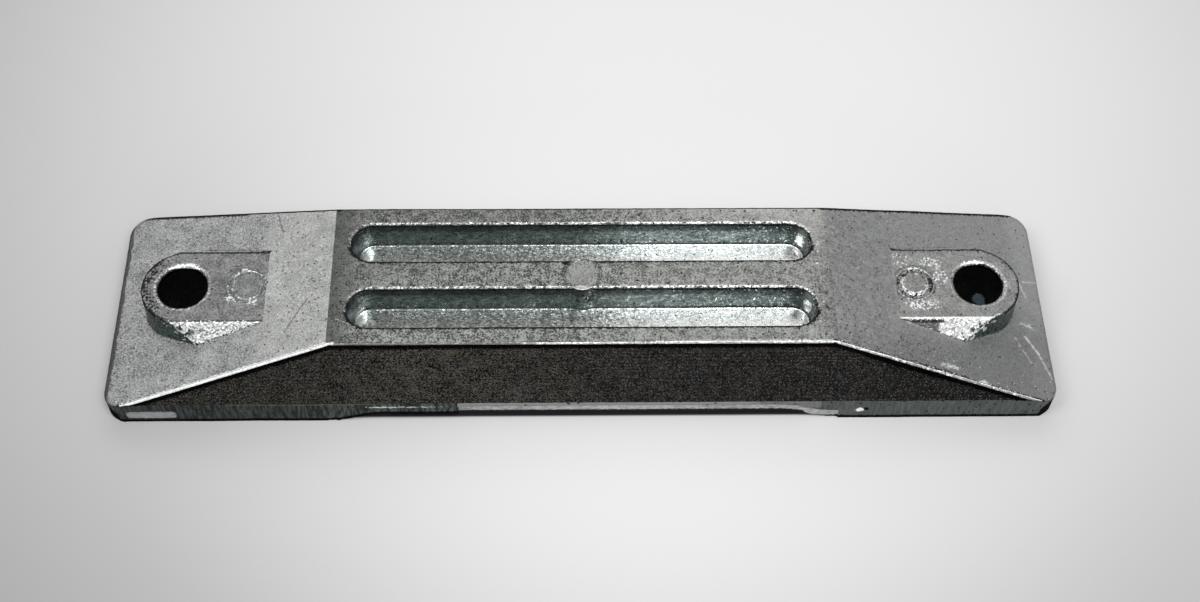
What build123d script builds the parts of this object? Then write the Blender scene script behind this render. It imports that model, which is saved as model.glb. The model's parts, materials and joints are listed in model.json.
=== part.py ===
"""Bar anode for the bracket of a small boat: one zinc die casting, bolted down near its two ends.

The origin is on the seat plane, at the centre of the casting's outline. +X runs along the bar, +Y across it
and +Z away from the surface that the bar is bolted to. All sizes are in millimetres and degrees.
"""

from build123d import *
from math import cos, radians, sin, tan
import os

# Outline of the casting
length = 165.0  # end to end
width = 39.7  # across the upright foot band
height = 16.0  # seat to plateau
corner_radius = 3.4  # plan corners of the foot
band_height = 5.8  # upright band left by the trimming tool, from the seat up
flank_run = 5.8  # how far each long flank leans in, from the band to the plateau
ramp_run = 39.7  # from each end of the bar to the plateau
end_thickness = 4.6  # where the ramps run out at the two ends
ridge_radius = 4.0  # soft bend from plateau to ramp
edge_radius = 0.5  # cast edge between the top faces and the flanks

# Two slots sunk into the plateau, and the lands that they leave
end_land = 2.4  # from a slot's round end to the ridge
side_land = 3.3  # from a slot to the flank
middle_land = 5.7  # between the slots
slot_depth = 5.4
slot_draft = 8.0  # slope of the walls from upright
slot_floor_radius = 0.5
slot_rim_bevel = 0.25

# Bolt bosses: a flat pad round each bolt hole, which runs into the ramp at its inner end
hole_diameter = 8.5  # clears an M8 bolt
hole_edge = 12.95  # from the end of the bar to the hole's axis
hole_rim_bevel = 0.3
boss_step = 3.5  # from the plateau down to the pad
boss_width = 14.7  # across the pad's straight part
drum_radius = 7.2  # round outer end of the pad
drum_draft = 1.0  # the outer end is almost upright
flank_draft = 37.5  # the straight sides lean far out
trim_draft = 5.6  # the cuts that take the sides back to the round end
trim_angle = 26.8  # plan angle of those cuts

# Marks of the ejector pins
pin_setback = 11.2  # from the bolt hole's axis towards the plateau
pin_diameter = 5.6  # flush disc inside its ring, on the -X boss
pin_ring_width = 0.35
pin_ring_depth = 0.2
button_diameter = 4.9  # raised disc in the same ring, on the +X boss
button_rise = 0.3
button_draft = 30.0
middle_pin_diameter = 6.7  # pad between the slots, wider than their land
middle_pin_sink = 0.12  # below the plateau

# Underside: a flat seat at each end and a shallow relief between them
seat_length = 38.0
relief_depth = 2.1
relief_run = 11.0  # S-shaped run-out at each end of the relief

# Gate and overflow scars, ground a little below the face of the -Y foot band
scar_height = 2.6
scar_depth = 0.2
gate_start = 21.5  # the gate's square end, from the middle towards -X
overflow_gap = 3.5  # from the -X end of the bar
overflow_length = 9.0
overflow_lift = 0.9  # lower edge above the seat

level_tolerance = 0.001  # for picking faces by their height

# Worked out from the sizes above
half_length = length / 2
half_width = width / 2
half_plateau = half_length - ramp_run
top_half_width = half_width - flank_run
slot_width = top_half_width - side_land - middle_land / 2
slot_length = 2 * (half_plateau - end_land)
slot_y = (middle_land + slot_width) / 2
slot_floor = height - slot_depth
hole_x = half_length - hole_edge
pin_x = hole_x - pin_setback
boss_top = height - boss_step
boss_reach = boss_top - end_thickness  # the boss walls are drawn this far down, inside the body
half_relief = half_length - seat_length


def at_level(z):
    """Test for faces that lie at a height."""
    return lambda face: abs(face.center().Z - z) < level_tolerance


def run_out(lift):
    """S curve with level ends from the relief's flat to the +X seat, raised by lift, in the side view."""
    start = (half_relief - relief_run, relief_depth + lift)
    end = (half_relief, lift)
    middle = (start[0] + end[0]) / 2
    return Bezier(start, (middle, start[1]), (middle, end[1]), end)


def boss_corners(drop):
    """Corners of a +X boss's outline at a depth below its pad, then the far point of its round end.

    The straight sides run out of the ramp, and a cut on each takes them back to where it meets the drum.
    """
    side = boss_width / 2 + drop * tan(radians(flank_draft))
    trim = drum_radius + drop * tan(radians(trim_draft))
    angle = radians(trim_angle)
    root = (half_plateau, side)
    corner = (hole_x + (trim - side * cos(angle)) / sin(angle), side)
    touch = (hole_x + trim * sin(angle), trim * cos(angle))
    tip = (hole_x + drum_radius + drop * tan(radians(drum_draft)), 0)
    return root, corner, touch, tip


with BuildPart() as anode_casting:
    # Body: the plan outline, cut to the side view and then to the end view
    with BuildSketch():
        RectangleRounded(length, width, corner_radius)
    extrude(amount=height)
    with BuildSketch(Plane.XZ) as side_view:
        with BuildLine():
            Polyline(
                (-half_length, 0),
                (half_length, 0),
                (half_length, end_thickness),
                (half_plateau, height),
                (-half_plateau, height),
                (-half_length, end_thickness),
                close=True,
            )
        make_face()
        fillet(side_view.vertices().group_by(Axis.Y)[-1], ridge_radius)
    extrude(amount=width, both=True, mode=Mode.INTERSECT)
    with BuildSketch(Plane.YZ):
        with BuildLine():
            Polyline(
                (-half_width, 0),
                (half_width, 0),
                (half_width, band_height),
                (top_half_width, height),
                (-top_half_width, height),
                (-half_width, band_height),
                close=True,
            )
        make_face()
    extrude(amount=length, both=True, mode=Mode.INTERSECT)

    # Cast edge along the plateau and the ramps, down to the foot band
    flanks = anode_casting.faces().filter_by(lambda f: f.normal_at().Z > 0.1 and abs(f.normal_at().Y) > 0.1)
    fillet(flanks.edges().filter_by(lambda e: e.center().Z > band_height + edge_radius), edge_radius)

    # Bolt bosses: each pad's outline is drawn down to a wider one inside the body
    for turn in (0, 180):
        for drop in (0, boss_reach):
            root, corner, touch, tip = boss_corners(drop)
            with BuildSketch(Plane.XY.offset(boss_top - drop).rotated((0, 0, turn))):
                with BuildLine():
                    Polyline((root[0], 0), root, corner, touch)
                    ThreePointArc(touch, tip, (touch[0], -touch[1]))
                    Polyline((touch[0], -touch[1]), (corner[0], -corner[1]), (root[0], -root[1]), (root[0], 0))
                make_face()
        loft(ruled=True)

    # Slots, sunk from the plateau, with a round floor edge and a bevelled rim
    with BuildSketch(Plane.XY.offset(height)):
        with Locations((0, slot_y), (0, -slot_y)):
            SlotOverall(slot_length, slot_width)
    extrude(amount=-slot_depth, taper=slot_draft, mode=Mode.SUBTRACT)
    floors = anode_casting.faces().filter_by(Plane.XY).filter_by(at_level(slot_floor))
    fillet(floors.edges(), slot_floor_radius)
    plateau = anode_casting.faces().filter_by(Plane.XY).sort_by(Axis.Z)[-1]
    chamfer(plateau.inner_wires().edges(), slot_rim_bevel)

    # Pad of the middle ejector pin, from inside the floor to just under the plateau
    with BuildSketch(Plane.XY.offset(slot_floor - slot_floor_radius)):
        Circle(middle_pin_diameter / 2 + slot_depth * tan(radians(slot_draft)))
    extrude(amount=slot_depth + slot_floor_radius, taper=slot_draft)
    with BuildSketch(Plane.XY.offset(height)):
        Circle(middle_pin_diameter / 2 - slot_rim_bevel)
    extrude(amount=-middle_pin_sink, mode=Mode.SUBTRACT)

    # Underside relief: flat in the middle, with S-shaped run-outs to the two seats
    with BuildSketch(Plane.XZ):
        with BuildLine():
            run = run_out(0)
            Line((0, relief_depth), run @ 0)
            mirror(about=Plane.YZ)
            Line((-half_relief, 0), (half_relief, 0))
        make_face()
    extrude(amount=width, both=True, mode=Mode.SUBTRACT)

    # Bolt holes, with a small bevel at the pad
    with Locations((-hole_x, 0, boss_top), (hole_x, 0, boss_top)):
        CounterSinkHole(hole_diameter / 2, hole_diameter / 2 + hole_rim_bevel, boss_top)

    # Ejector pin marks: a ring round a flush disc on one boss, round a raised button on the other
    with BuildSketch(Plane.XY.offset(boss_top)):
        with Locations((-pin_x, 0), (pin_x, 0)):
            Circle(pin_diameter / 2 + pin_ring_width)
        with Locations((-pin_x, 0)):
            Circle(pin_diameter / 2, mode=Mode.SUBTRACT)
    extrude(amount=-pin_ring_depth, mode=Mode.SUBTRACT)
    with BuildSketch(Plane.XY.offset(boss_top - pin_ring_depth)):
        with Locations((pin_x, 0)):
            Circle(button_diameter / 2)
    extrude(amount=pin_ring_depth + button_rise, taper=button_draft)

    # Gate scar, which follows the base's lower edge down the +X run-out, and a small overflow scar
    scar_plane = Plane.XZ.offset(half_width)
    with BuildSketch(scar_plane):
        with BuildLine():
            low = run_out(0)
            high = run_out(scar_height)
            Polyline(
                low @ 0,
                (-gate_start, relief_depth),
                (-gate_start, relief_depth + scar_height),
                high @ 0,
            )
            Line(low @ 1, high @ 1)
        make_face()
    extrude(amount=-scar_depth, mode=Mode.SUBTRACT)
    with BuildSketch(scar_plane):
        with Locations((overflow_gap + overflow_length / 2 - half_length, overflow_lift + scar_height / 2)):
            Rectangle(overflow_length, scar_height)
    extrude(amount=-scar_depth, mode=Mode.SUBTRACT)

anode_casting.part.label = "anode_casting"
os.makedirs("parts", exist_ok=True)
export_step(anode_casting.part, "parts/anode_casting.step")
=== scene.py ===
"""A cast zinc bar anode on a pale table: its skin in detail, its finishes, lamps and camera.

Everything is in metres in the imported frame: +X runs along the bar, +Y across it and +Z from the
seats up to the plateau. The casting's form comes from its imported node; this file gives it skin.
"""

import json
import logging
import math
from dataclasses import dataclass, field
from enum import Enum

import bmesh
import bpy
import numpy as np
from mathutils import Matrix, Vector, noise
from mathutils.geometry import delaunay_2d_cdt
from mathutils.kdtree import KDTree


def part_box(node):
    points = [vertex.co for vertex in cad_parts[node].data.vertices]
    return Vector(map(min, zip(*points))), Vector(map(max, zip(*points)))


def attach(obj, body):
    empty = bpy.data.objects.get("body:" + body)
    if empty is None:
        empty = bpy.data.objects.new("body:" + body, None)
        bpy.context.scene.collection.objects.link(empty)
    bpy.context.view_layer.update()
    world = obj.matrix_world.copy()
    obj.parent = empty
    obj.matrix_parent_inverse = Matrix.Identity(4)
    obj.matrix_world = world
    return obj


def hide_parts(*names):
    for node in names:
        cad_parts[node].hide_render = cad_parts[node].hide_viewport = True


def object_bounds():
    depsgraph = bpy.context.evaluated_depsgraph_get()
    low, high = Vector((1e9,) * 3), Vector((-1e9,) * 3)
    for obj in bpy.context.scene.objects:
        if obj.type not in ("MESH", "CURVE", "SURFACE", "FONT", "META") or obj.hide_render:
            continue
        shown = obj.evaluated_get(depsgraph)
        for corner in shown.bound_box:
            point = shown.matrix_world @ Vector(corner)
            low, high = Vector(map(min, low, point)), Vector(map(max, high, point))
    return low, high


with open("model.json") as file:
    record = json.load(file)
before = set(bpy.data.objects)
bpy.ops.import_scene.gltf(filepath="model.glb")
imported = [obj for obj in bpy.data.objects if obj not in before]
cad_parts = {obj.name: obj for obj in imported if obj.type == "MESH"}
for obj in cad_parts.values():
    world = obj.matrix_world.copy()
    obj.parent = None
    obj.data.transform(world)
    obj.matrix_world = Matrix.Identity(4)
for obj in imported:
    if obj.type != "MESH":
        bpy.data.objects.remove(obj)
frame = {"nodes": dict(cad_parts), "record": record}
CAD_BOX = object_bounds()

Colour = tuple[float, float, float]
Point = tuple[float, float, float]

MM = 0.001
PIECE_NAME = "anode_casting"
# Two skin layers: the first lightens, for worn skin and painted glints and highlights; the second
# darkens, for soiling and painted shade.
WEAR_AND_GLINT = "wear_and_glint"
DIRT_AND_SHADE = "dirt_and_shade"
BOLT_HOLES = next(m["dims"] for m in frame["record"]["mounts"] if m["name"] == "bolt_holes")
log = logging.getLogger("anode")

WHITE: Colour = (0.92, 0.93, 0.93)
BLACK: Colour = (0.012, 0.012, 0.011)
ALONG: Point = (1.0, 0.0, 0.0)
BACK: Point = (-1.0, 0.0, 0.0)
UP: Point = (0.0, 0.0, 1.0)

# Places that worn marks, soiling, painted light and shade, tints and scratches are laid out from,
# in millimetres: a bolt hole's axis, the foot's near face, the plateau, about the bosses' tops and
# about the slots' floors. OPEN lies past every end of the casting and stands for no limit.
HOLE_X = BOLT_HOLES["spacing_x_mm"] / 2
NEAR_Y = round(CAD_BOX[0].y / MM, 2)
TOP_Z = round(CAD_BOX[1].z / MM, 2)
PAD_Z = 12.4
FLOOR_Z = 10.7
OPEN = 99.0


class Zone(Enum):
    """The parts of the casting's skin that each take a finish of their own."""

    PLATEAU = "plateau"
    RAMP = "ramp"
    FLANK = "flank"
    BAND = "foot_band"
    # Painted highlight on the rounded near top edge.
    EDGE = "highlit_edge"
    # Painted shade on the rims and edges that face back.
    RIM = "shaded_rim"
    # Painted highlight on the hole rims and on the slot rims that face the front.
    LIP = "hole_and_slot_rim"
    SLOT_WALL = "slot_wall"
    SLOT_FLOOR = "slot_floor"
    PAD = "boss_pad"
    FACET = "boss_flank"
    DRUM = "boss_drum"
    BORE = "bolt_hole"
    SCAR = "gate_scar"
    SEAT = "underside"


def grey(level: float) -> Colour:
    """A plain grey."""
    return (level, level, level)


def tree_of(places: np.ndarray | list[Point]) -> KDTree:
    """Sorts places so that the nearest one to any point is found fast."""
    tree = KDTree(len(places))
    for n, place in enumerate(places):
        tree.insert(place, n)
    tree.balance()
    return tree


def summed_by(index: np.ndarray, rows: np.ndarray, many: int) -> np.ndarray:
    """Adds up the rows that share an index.

    Args:
        index: Which sum each row goes into.
        rows: The rows.
        many: How many sums there are.

    Returns:
        The sums, one a row.
    """
    return np.column_stack([np.bincount(index, column, many) for column in rows.T])


@dataclass
class CastingSizes:
    """The casting's main sizes, in metres, from its packed box and mounts."""

    low: Vector = field(default_factory=lambda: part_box(PIECE_NAME)[0])
    high: Vector = field(default_factory=lambda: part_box(PIECE_NAME)[1])
    band_height: float = 5.8 * MM
    slot_floor_height: float = 10.6 * MM
    slot_offset: float = 6.8 * MM
    slot_half_width: float = 3.95 * MM
    slot_half_length: float = 40.4 * MM
    pad_height: float = 12.5 * MM
    plateau_reach: float = 42.8 * MM
    scar_depth: float = 0.2 * MM

    @property
    def top(self) -> float:
        """Height of the plateau."""
        return self.high.z

    @property
    def side(self) -> float:
        """Distance from the bar's middle line to its foot band."""
        return self.high.y

    @property
    def hole_radius(self) -> float:
        """Radius of each bolt hole, from the record's mount."""
        return BOLT_HOLES["hole_r_mm"] * MM

    @property
    def hole_reach(self) -> float:
        """Distance from the bar's centre to each bolt hole's axis."""
        return HOLE_X * MM


@dataclass
class ZoneFinder:
    """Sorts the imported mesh's faces into zones by where they are and which way they face.

    A rise is the upright part of a face's outward direction: 1 for a level face that looks up,
    0 for an upright one. A lean is the part across the bar, below 0 on the near side.

    Attributes:
        sizes: The casting's sizes.
        flat: Least rise of a level face.
        upright: Greatest rise of an upright face.
        ramp_rise: Rise of the ramps.
        flank_rise: Rise of the long flanks.
        rise_slack: How far a rise may be off.
        slack: How far a place may be off, in metres.
    """

    sizes: CastingSizes
    flat: float = 0.995
    upright: float = 0.2
    ramp_rise: float = 0.961
    flank_rise: float = 0.494
    rise_slack: float = 0.01
    slack: float = 0.06 * MM

    def zone_of(self, centre: Vector, normal: Vector) -> Zone:
        """Finds the zone of one face.

        Args:
            centre: The face's middle.
            normal: The face's outward direction.

        Returns:
            The zone whose finish the face takes.
        """
        looks_down = -0.5
        if normal.z < looks_down:
            on_scar = self.sizes.side + centre.y < self.sizes.scar_depth
            return Zone.BAND if on_scar else Zone.SEAT
        if self._in_hole(centre):
            return Zone.BORE if abs(normal.z) < self.upright else Zone.LIP
        if self._in_slot(centre):
            return self._slot_zone(centre, normal)
        if centre.z < self.sizes.band_height - self.slack and abs(normal.z) < self.upright:
            return self._foot_zone(centre, normal)
        return self._upper_zone(centre, normal)

    def _in_hole(self, centre: Vector) -> bool:
        """True inside either bolt hole or on its rim."""
        rim = 0.28 * MM
        away = math.hypot(abs(centre.x) - self.sizes.hole_reach, centre.y)
        return away < self.sizes.hole_radius + rim

    def _in_slot(self, centre: Vector) -> bool:
        """True inside either long slot or on its rim, below the plateau."""
        s = self.sizes
        rim, below = 0.3 * MM, 0.02 * MM
        straight = s.slot_half_length - s.slot_half_width
        along = max(0.0, abs(centre.x) - straight)
        away = math.hypot(along, abs(centre.y) - s.slot_offset)
        return away < s.slot_half_width + rim and centre.z < s.top - below

    def _slot_zone(self, centre: Vector, normal: Vector) -> Zone:
        """Sorts a face that lies in a slot."""
        floor_rise, crest_rise, lip_rise = 0.8, 0.88, 0.5
        floor_height, crest_depth, lip_depth = 0.2 * MM, 0.3 * MM, 0.4 * MM
        far_lean = 0.15
        if normal.z > floor_rise and centre.z < self.sizes.slot_floor_height + floor_height:
            return Zone.SLOT_FLOOR
        if centre.z > self.sizes.top - crest_depth and normal.z > crest_rise:
            return Zone.PLATEAU
        # A rim facing the front takes the painted highlight, one facing back the painted shade.
        if centre.z > self.sizes.top - lip_depth and normal.z > lip_rise:
            return Zone.LIP if normal.y < far_lean else Zone.RIM
        return Zone.SLOT_WALL

    def _foot_zone(self, centre: Vector, normal: Vector) -> Zone:
        """Sorts an upright face low on the bar."""
        near_lean = -0.999
        sunk = self.sizes.side + centre.y
        scarred = normal.y < near_lean and self.slack < sunk < 2 * self.sizes.scar_depth
        return Zone.SCAR if scarred else Zone.BAND

    def _upper_zone(self, centre: Vector, normal: Vector) -> Zone:
        """Sorts a face of the plateau, ramps, flanks or bosses."""
        s = self.sizes
        pad_slack, tip = 0.3 * MM, 2 * MM
        on_side = abs(centre.y) > s.side / 2
        ramp_lean, roll_lean, flank_lean = 0.02, 0.05, 0.86
        shaded_rise = 0.1
        if normal.z > self.flat:
            level_pad = abs(centre.z - s.pad_height) < pad_slack
            return Zone.PAD if level_pad and abs(centre.x) > s.slot_half_length else Zone.PLATEAU
        if abs(normal.z - self.ramp_rise) < self.rise_slack and abs(normal.y) < ramp_lean:
            return Zone.RAMP
        if abs(normal.z - self.flank_rise) < self.rise_slack and abs(normal.y) > flank_lean:
            return Zone.FLANK
        if abs(normal.y) < roll_lean and normal.z > self.ramp_rise - self.rise_slack:
            return Zone.PLATEAU
        if on_side and normal.z > shaded_rise:
            return self._brow_zone(centre, normal)
        if on_side or abs(centre.x) > s.high.x - tip:
            return Zone.RIM if normal.z > shaded_rise else Zone.BAND
        return Zone.FACET if normal.z > self.upright else Zone.DRUM

    def _brow_zone(self, centre: Vector, normal: Vector) -> Zone:
        """Sorts a face of the rounded edge between a top and a flank."""
        edge_lean, top_lean = -0.35, -0.15
        # Faces towards the front take the painted highlight, those towards the back painted shade.
        if normal.y < edge_lean:
            return Zone.EDGE
        if normal.y < top_lean:
            return Zone.RAMP if abs(centre.x) > self.sizes.plateau_reach else Zone.PLATEAU
        return Zone.RIM


@dataclass(frozen=True)
class SkinRelief:
    """How rough one zone's surface is, as heights in millimetres.

    Attributes:
        swell: Height of slow unevenness left by the mould.
        grain: Height of the coarse cast grain.
    """

    swell: float
    grain: float


RELIEF: dict[Zone, SkinRelief] = {
    Zone.PLATEAU: SkinRelief(0.050, 0.035),
    Zone.RAMP: SkinRelief(0.060, 0.014),
    Zone.FLANK: SkinRelief(0.060, 0.060),
    Zone.BAND: SkinRelief(0.050, 0.030),
    Zone.EDGE: SkinRelief(0.050, 0.055),
    Zone.RIM: SkinRelief(0.050, 0.030),
    Zone.LIP: SkinRelief(0.040, 0.050),
    Zone.SLOT_WALL: SkinRelief(0.040, 0.025),
    Zone.SLOT_FLOOR: SkinRelief(0.015, 0.012),
    Zone.PAD: SkinRelief(0.040, 0.020),
    Zone.FACET: SkinRelief(0.030, 0.030),
    Zone.DRUM: SkinRelief(0.040, 0.035),
    Zone.BORE: SkinRelief(0.020, 0.030),
    Zone.SCAR: SkinRelief(0.040, 0.030),
    Zone.SEAT: SkinRelief(0.030, 0.020),
}


@dataclass(frozen=True)
class Seam:
    """Worn skin with painted highlight, or soiling with painted shade, along the border of two
    sorts of zone.

    Attributes:
        layer: The layer it adds to.
        between: The zones on the border's two sides.
        over: The zones it spreads over.
        reach: How far it spreads, in millimetres.
        strength: How much it adds at the border.
        low: Low corner of the box that the border keeps to, in millimetres; OPEN is no limit.
        high: High corner of that box.
    """

    layer: str
    between: tuple[set[Zone], set[Zone]]
    over: set[Zone]
    reach: float
    strength: float
    low: Point = (-OPEN, -OPEN, -OPEN)
    high: Point = (OPEN, OPEN, OPEN)


@dataclass(frozen=True)
class SpotMark:
    """A spot of worn skin with painted glints, or of soiling with painted shade, in millimetres.

    Attributes:
        layer: The layer it adds to.
        centre: Its middle.
        reach: Its half sizes.
        strength: How much it adds; below zero it takes some away.
        ring: Middle and radius in plan of a ring that it keeps to, if any.
        ring_reach: Half width of that ring.
        turn: Degrees it is turned about the upright.
    """

    layer: str
    centre: Point
    reach: Point
    strength: float
    ring: Point | None = None
    ring_reach: float = 0.5
    turn: float = 0.0


TOPS = {Zone.PLATEAU, Zone.RAMP}
BOSS_SIDES = {Zone.FACET, Zone.DRUM}
FEET = {Zone.BAND, Zone.SCAR}

# Layer, between, over, reach, strength, low, high.
SEAMS = (
    # Painted shade: the dark line on the flank just below the near top edge.
    Seam(DIRT_AND_SHADE, ({Zone.EDGE}, {Zone.FLANK}), {Zone.FLANK}, 1.1, 1.1, high=(OPEN, 0.0, OPEN)),
    # A lighter band on the tops along the near edge: painted highlight over worn skin.
    Seam(WEAR_AND_GLINT, ({Zone.EDGE}, TOPS), TOPS, 0.45, 1.0, high=(-42.0, -10.0, OPEN)),
    Seam(
        WEAR_AND_GLINT, ({Zone.EDGE}, TOPS), TOPS, 0.4, 0.65, (12.0, -OPEN, 0.0), (80.0, -10.0, OPEN)
    ),
    # Painted shade along the foot's lower edge, where it meets the table.
    Seam(DIRT_AND_SHADE, (FEET, {Zone.SEAT}), FEET, 1.35, 1.3),
    Seam(DIRT_AND_SHADE, ({Zone.SCAR}, {Zone.BAND}), {Zone.SCAR}, 0.7, 0.6, high=(-60.0, 0.0, OPEN)),
    # Painted shade along the rims that face back and on the tops beside them.
    Seam(DIRT_AND_SHADE, ({Zone.RIM}, TOPS), {Zone.RIM}, 0.7, 0.9),
    Seam(DIRT_AND_SHADE, ({Zone.RIM}, TOPS), TOPS, 0.5, 0.85, high=(-60.0, OPEN, OPEN)),
    Seam(DIRT_AND_SHADE, ({Zone.RIM}, TOPS), TOPS, 0.4, 0.5, (60.0, -OPEN, 0.0)),
    # Painted shade at the top of the bolt holes.
    Seam(DIRT_AND_SHADE, ({Zone.LIP}, {Zone.BORE}), {Zone.BORE}, 0.8, 1.0),
    Seam(DIRT_AND_SHADE, ({Zone.PAD}, BOSS_SIDES), BOSS_SIDES | {Zone.PAD}, 0.35, 0.9, (-OPEN, 6.5, 0.0)),
    Seam(
        DIRT_AND_SHADE, ({Zone.PAD}, BOSS_SIDES), BOSS_SIDES | {Zone.RAMP}, 0.7, 0.8, high=(-72.0, 7.0, OPEN)
    ),
    Seam(DIRT_AND_SHADE, ({Zone.PAD}, BOSS_SIDES), BOSS_SIDES | {Zone.RAMP}, 0.8, 1.0, (72.0, -6.0, 0.0)),
)

# Layer, centre, reach, strength, ring, ring reach, turn.
SPOT_MARKS = (
    # Painted highlight on the left bolt hole's far rim.
    SpotMark(WEAR_AND_GLINT, (-69.2, 4.5, PAD_Z), (3.8, 1.1, 0.5), 1.3, (-HOLE_X, 0.0, 4.4), 0.26),
    SpotMark(DIRT_AND_SHADE, (-75.5, 0.5, PAD_Z), (4.6, 8.0, 2.0), 0.55, (-HOLE_X, 0.0, 6.3), 1.4),
    # Painted highlight on the right bolt hole's far rim.
    SpotMark(WEAR_AND_GLINT, (68.4, 4.5, PAD_Z), (3.0, 1.0, 0.5), 1.3, (HOLE_X, 0.0, 4.4), 0.26),
    SpotMark(DIRT_AND_SHADE, (60.0, -14.0, 11.0), (14.0, 5.0, 5.0), 0.3),
    SpotMark(DIRT_AND_SHADE, (81.4, -18.6, 1.8), (2.6, 2.0, 3.0), 1.6),
    SpotMark(DIRT_AND_SHADE, (-81.6, -18.8, 1.6), (2.0, 1.8, 2.6), 1.6),
    SpotMark(WEAR_AND_GLINT, (-31.5, NEAR_Y, 4.6), (10.5, 0.5, 0.4), 0.5),
    SpotMark(DIRT_AND_SHADE, (-58.35, 0.0, PAD_Z), (4.5, 4.5, 1.5), -0.7),
    SpotMark(WEAR_AND_GLINT, (-60.9, -2.6, PAD_Z), (1.2, 0.9, 1.0), 0.45),
    SpotMark(WEAR_AND_GLINT, (-57.2, -3.2, PAD_Z), (1.2, 0.7, 1.0), 0.45),
    # Painted glint on the left boss's near flank.
    SpotMark(WEAR_AND_GLINT, (-74.0, -8.5, 9.5), (1.0, 0.8, 2.0), 0.4),
    # Painted glitter on the right pad, round its pin.
    SpotMark(WEAR_AND_GLINT, (61.6, 4.4, PAD_Z), (2.4, 1.6, 1.0), 0.38),
    SpotMark(WEAR_AND_GLINT, (63.0, 1.0, PAD_Z), (1.6, 2.4, 1.0), 0.38),
    SpotMark(WEAR_AND_GLINT, (59.4, -4.4, PAD_Z), (4.0, 1.3, 1.0), 0.42),
    SpotMark(WEAR_AND_GLINT, (56.0, 5.0, PAD_Z), (3.0, 2.0, 1.0), 0.2),
    SpotMark(DIRT_AND_SHADE, (56.8, 1.7, 12.6), (0.5, 0.5, 1.0), 1.0),
    # Painted shade on the right pin's right side.
    SpotMark(DIRT_AND_SHADE, (61.4, 0.0, 12.6), (0.6, 2.4, 1.0), 0.6),
    SpotMark(WEAR_AND_GLINT, (0.0, -2.8, TOP_Z), (2.2, 0.5, 0.7), 0.9),
    SpotMark(DIRT_AND_SHADE, (-2.9, 2.4, TOP_Z), (0.8, 0.7, 0.8), 1.0),
    # Painted shade that hides a glint on the near slot's wall.
    SpotMark(DIRT_AND_SHADE, (1.0, -3.2, 13.2), (1.7, 1.5, 3.0), 0.45),
    SpotMark(DIRT_AND_SHADE, (41.7, -19.65, 1.9), (3.6, 0.7, 1.3), -1.6),
    SpotMark(WEAR_AND_GLINT, (48.0, NEAR_Y, 2.9), (0.8, 0.5, 0.6), 1.6),
    SpotMark(DIRT_AND_SHADE, (49.1, NEAR_Y, 3.2), (0.6, 0.5, 0.6), 1.4),
    SpotMark(WEAR_AND_GLINT, (63.0, -15.6, 10.1), (3.5, 0.8, 1.5), 0.45, turn=-8.0),
    SpotMark(WEAR_AND_GLINT, (69.0, -17.8, 8.5), (0.9, 0.6, 1.0), 0.7),
    SpotMark(WEAR_AND_GLINT, (79.0, -4.6, 5.6), (3.0, 0.8, 1.5), 0.4, turn=-20.0),
    # Painted reflections at the left ends of the slots' floors.
    SpotMark(WEAR_AND_GLINT, (-38.0, 7.9, FLOOR_Z), (1.2, 2.0, 0.8), 1.2),
    SpotMark(WEAR_AND_GLINT, (-38.3, -5.4, FLOOR_Z), (1.2, 2.0, 0.8), 1.2),
    SpotMark(DIRT_AND_SHADE, (37.6, 7.4, FLOOR_Z), (1.5, 1.1, 0.8), 0.5),
    SpotMark(DIRT_AND_SHADE, (37.2, -5.3, FLOOR_Z), (1.5, 1.1, 0.8), 0.5),
    # Painted glints: bluish low in the right bolt hole, white on the slots' right end walls, and,
    # last, low in the left bolt hole.
    SpotMark(WEAR_AND_GLINT, (72.6, 3.6, 2.2), (2.0, 1.6, 2.2), 0.9),
    SpotMark(WEAR_AND_GLINT, (39.0, 9.4, 12.6), (1.4, 1.4, 1.8), 0.75),
    SpotMark(WEAR_AND_GLINT, (39.3, -4.6, 12.6), (1.3, 1.3, 1.8), 0.8),
    SpotMark(WEAR_AND_GLINT, (-66.8, 4.0, 2.2), (1.6, 1.4, 2.0), 0.5),
)


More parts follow.
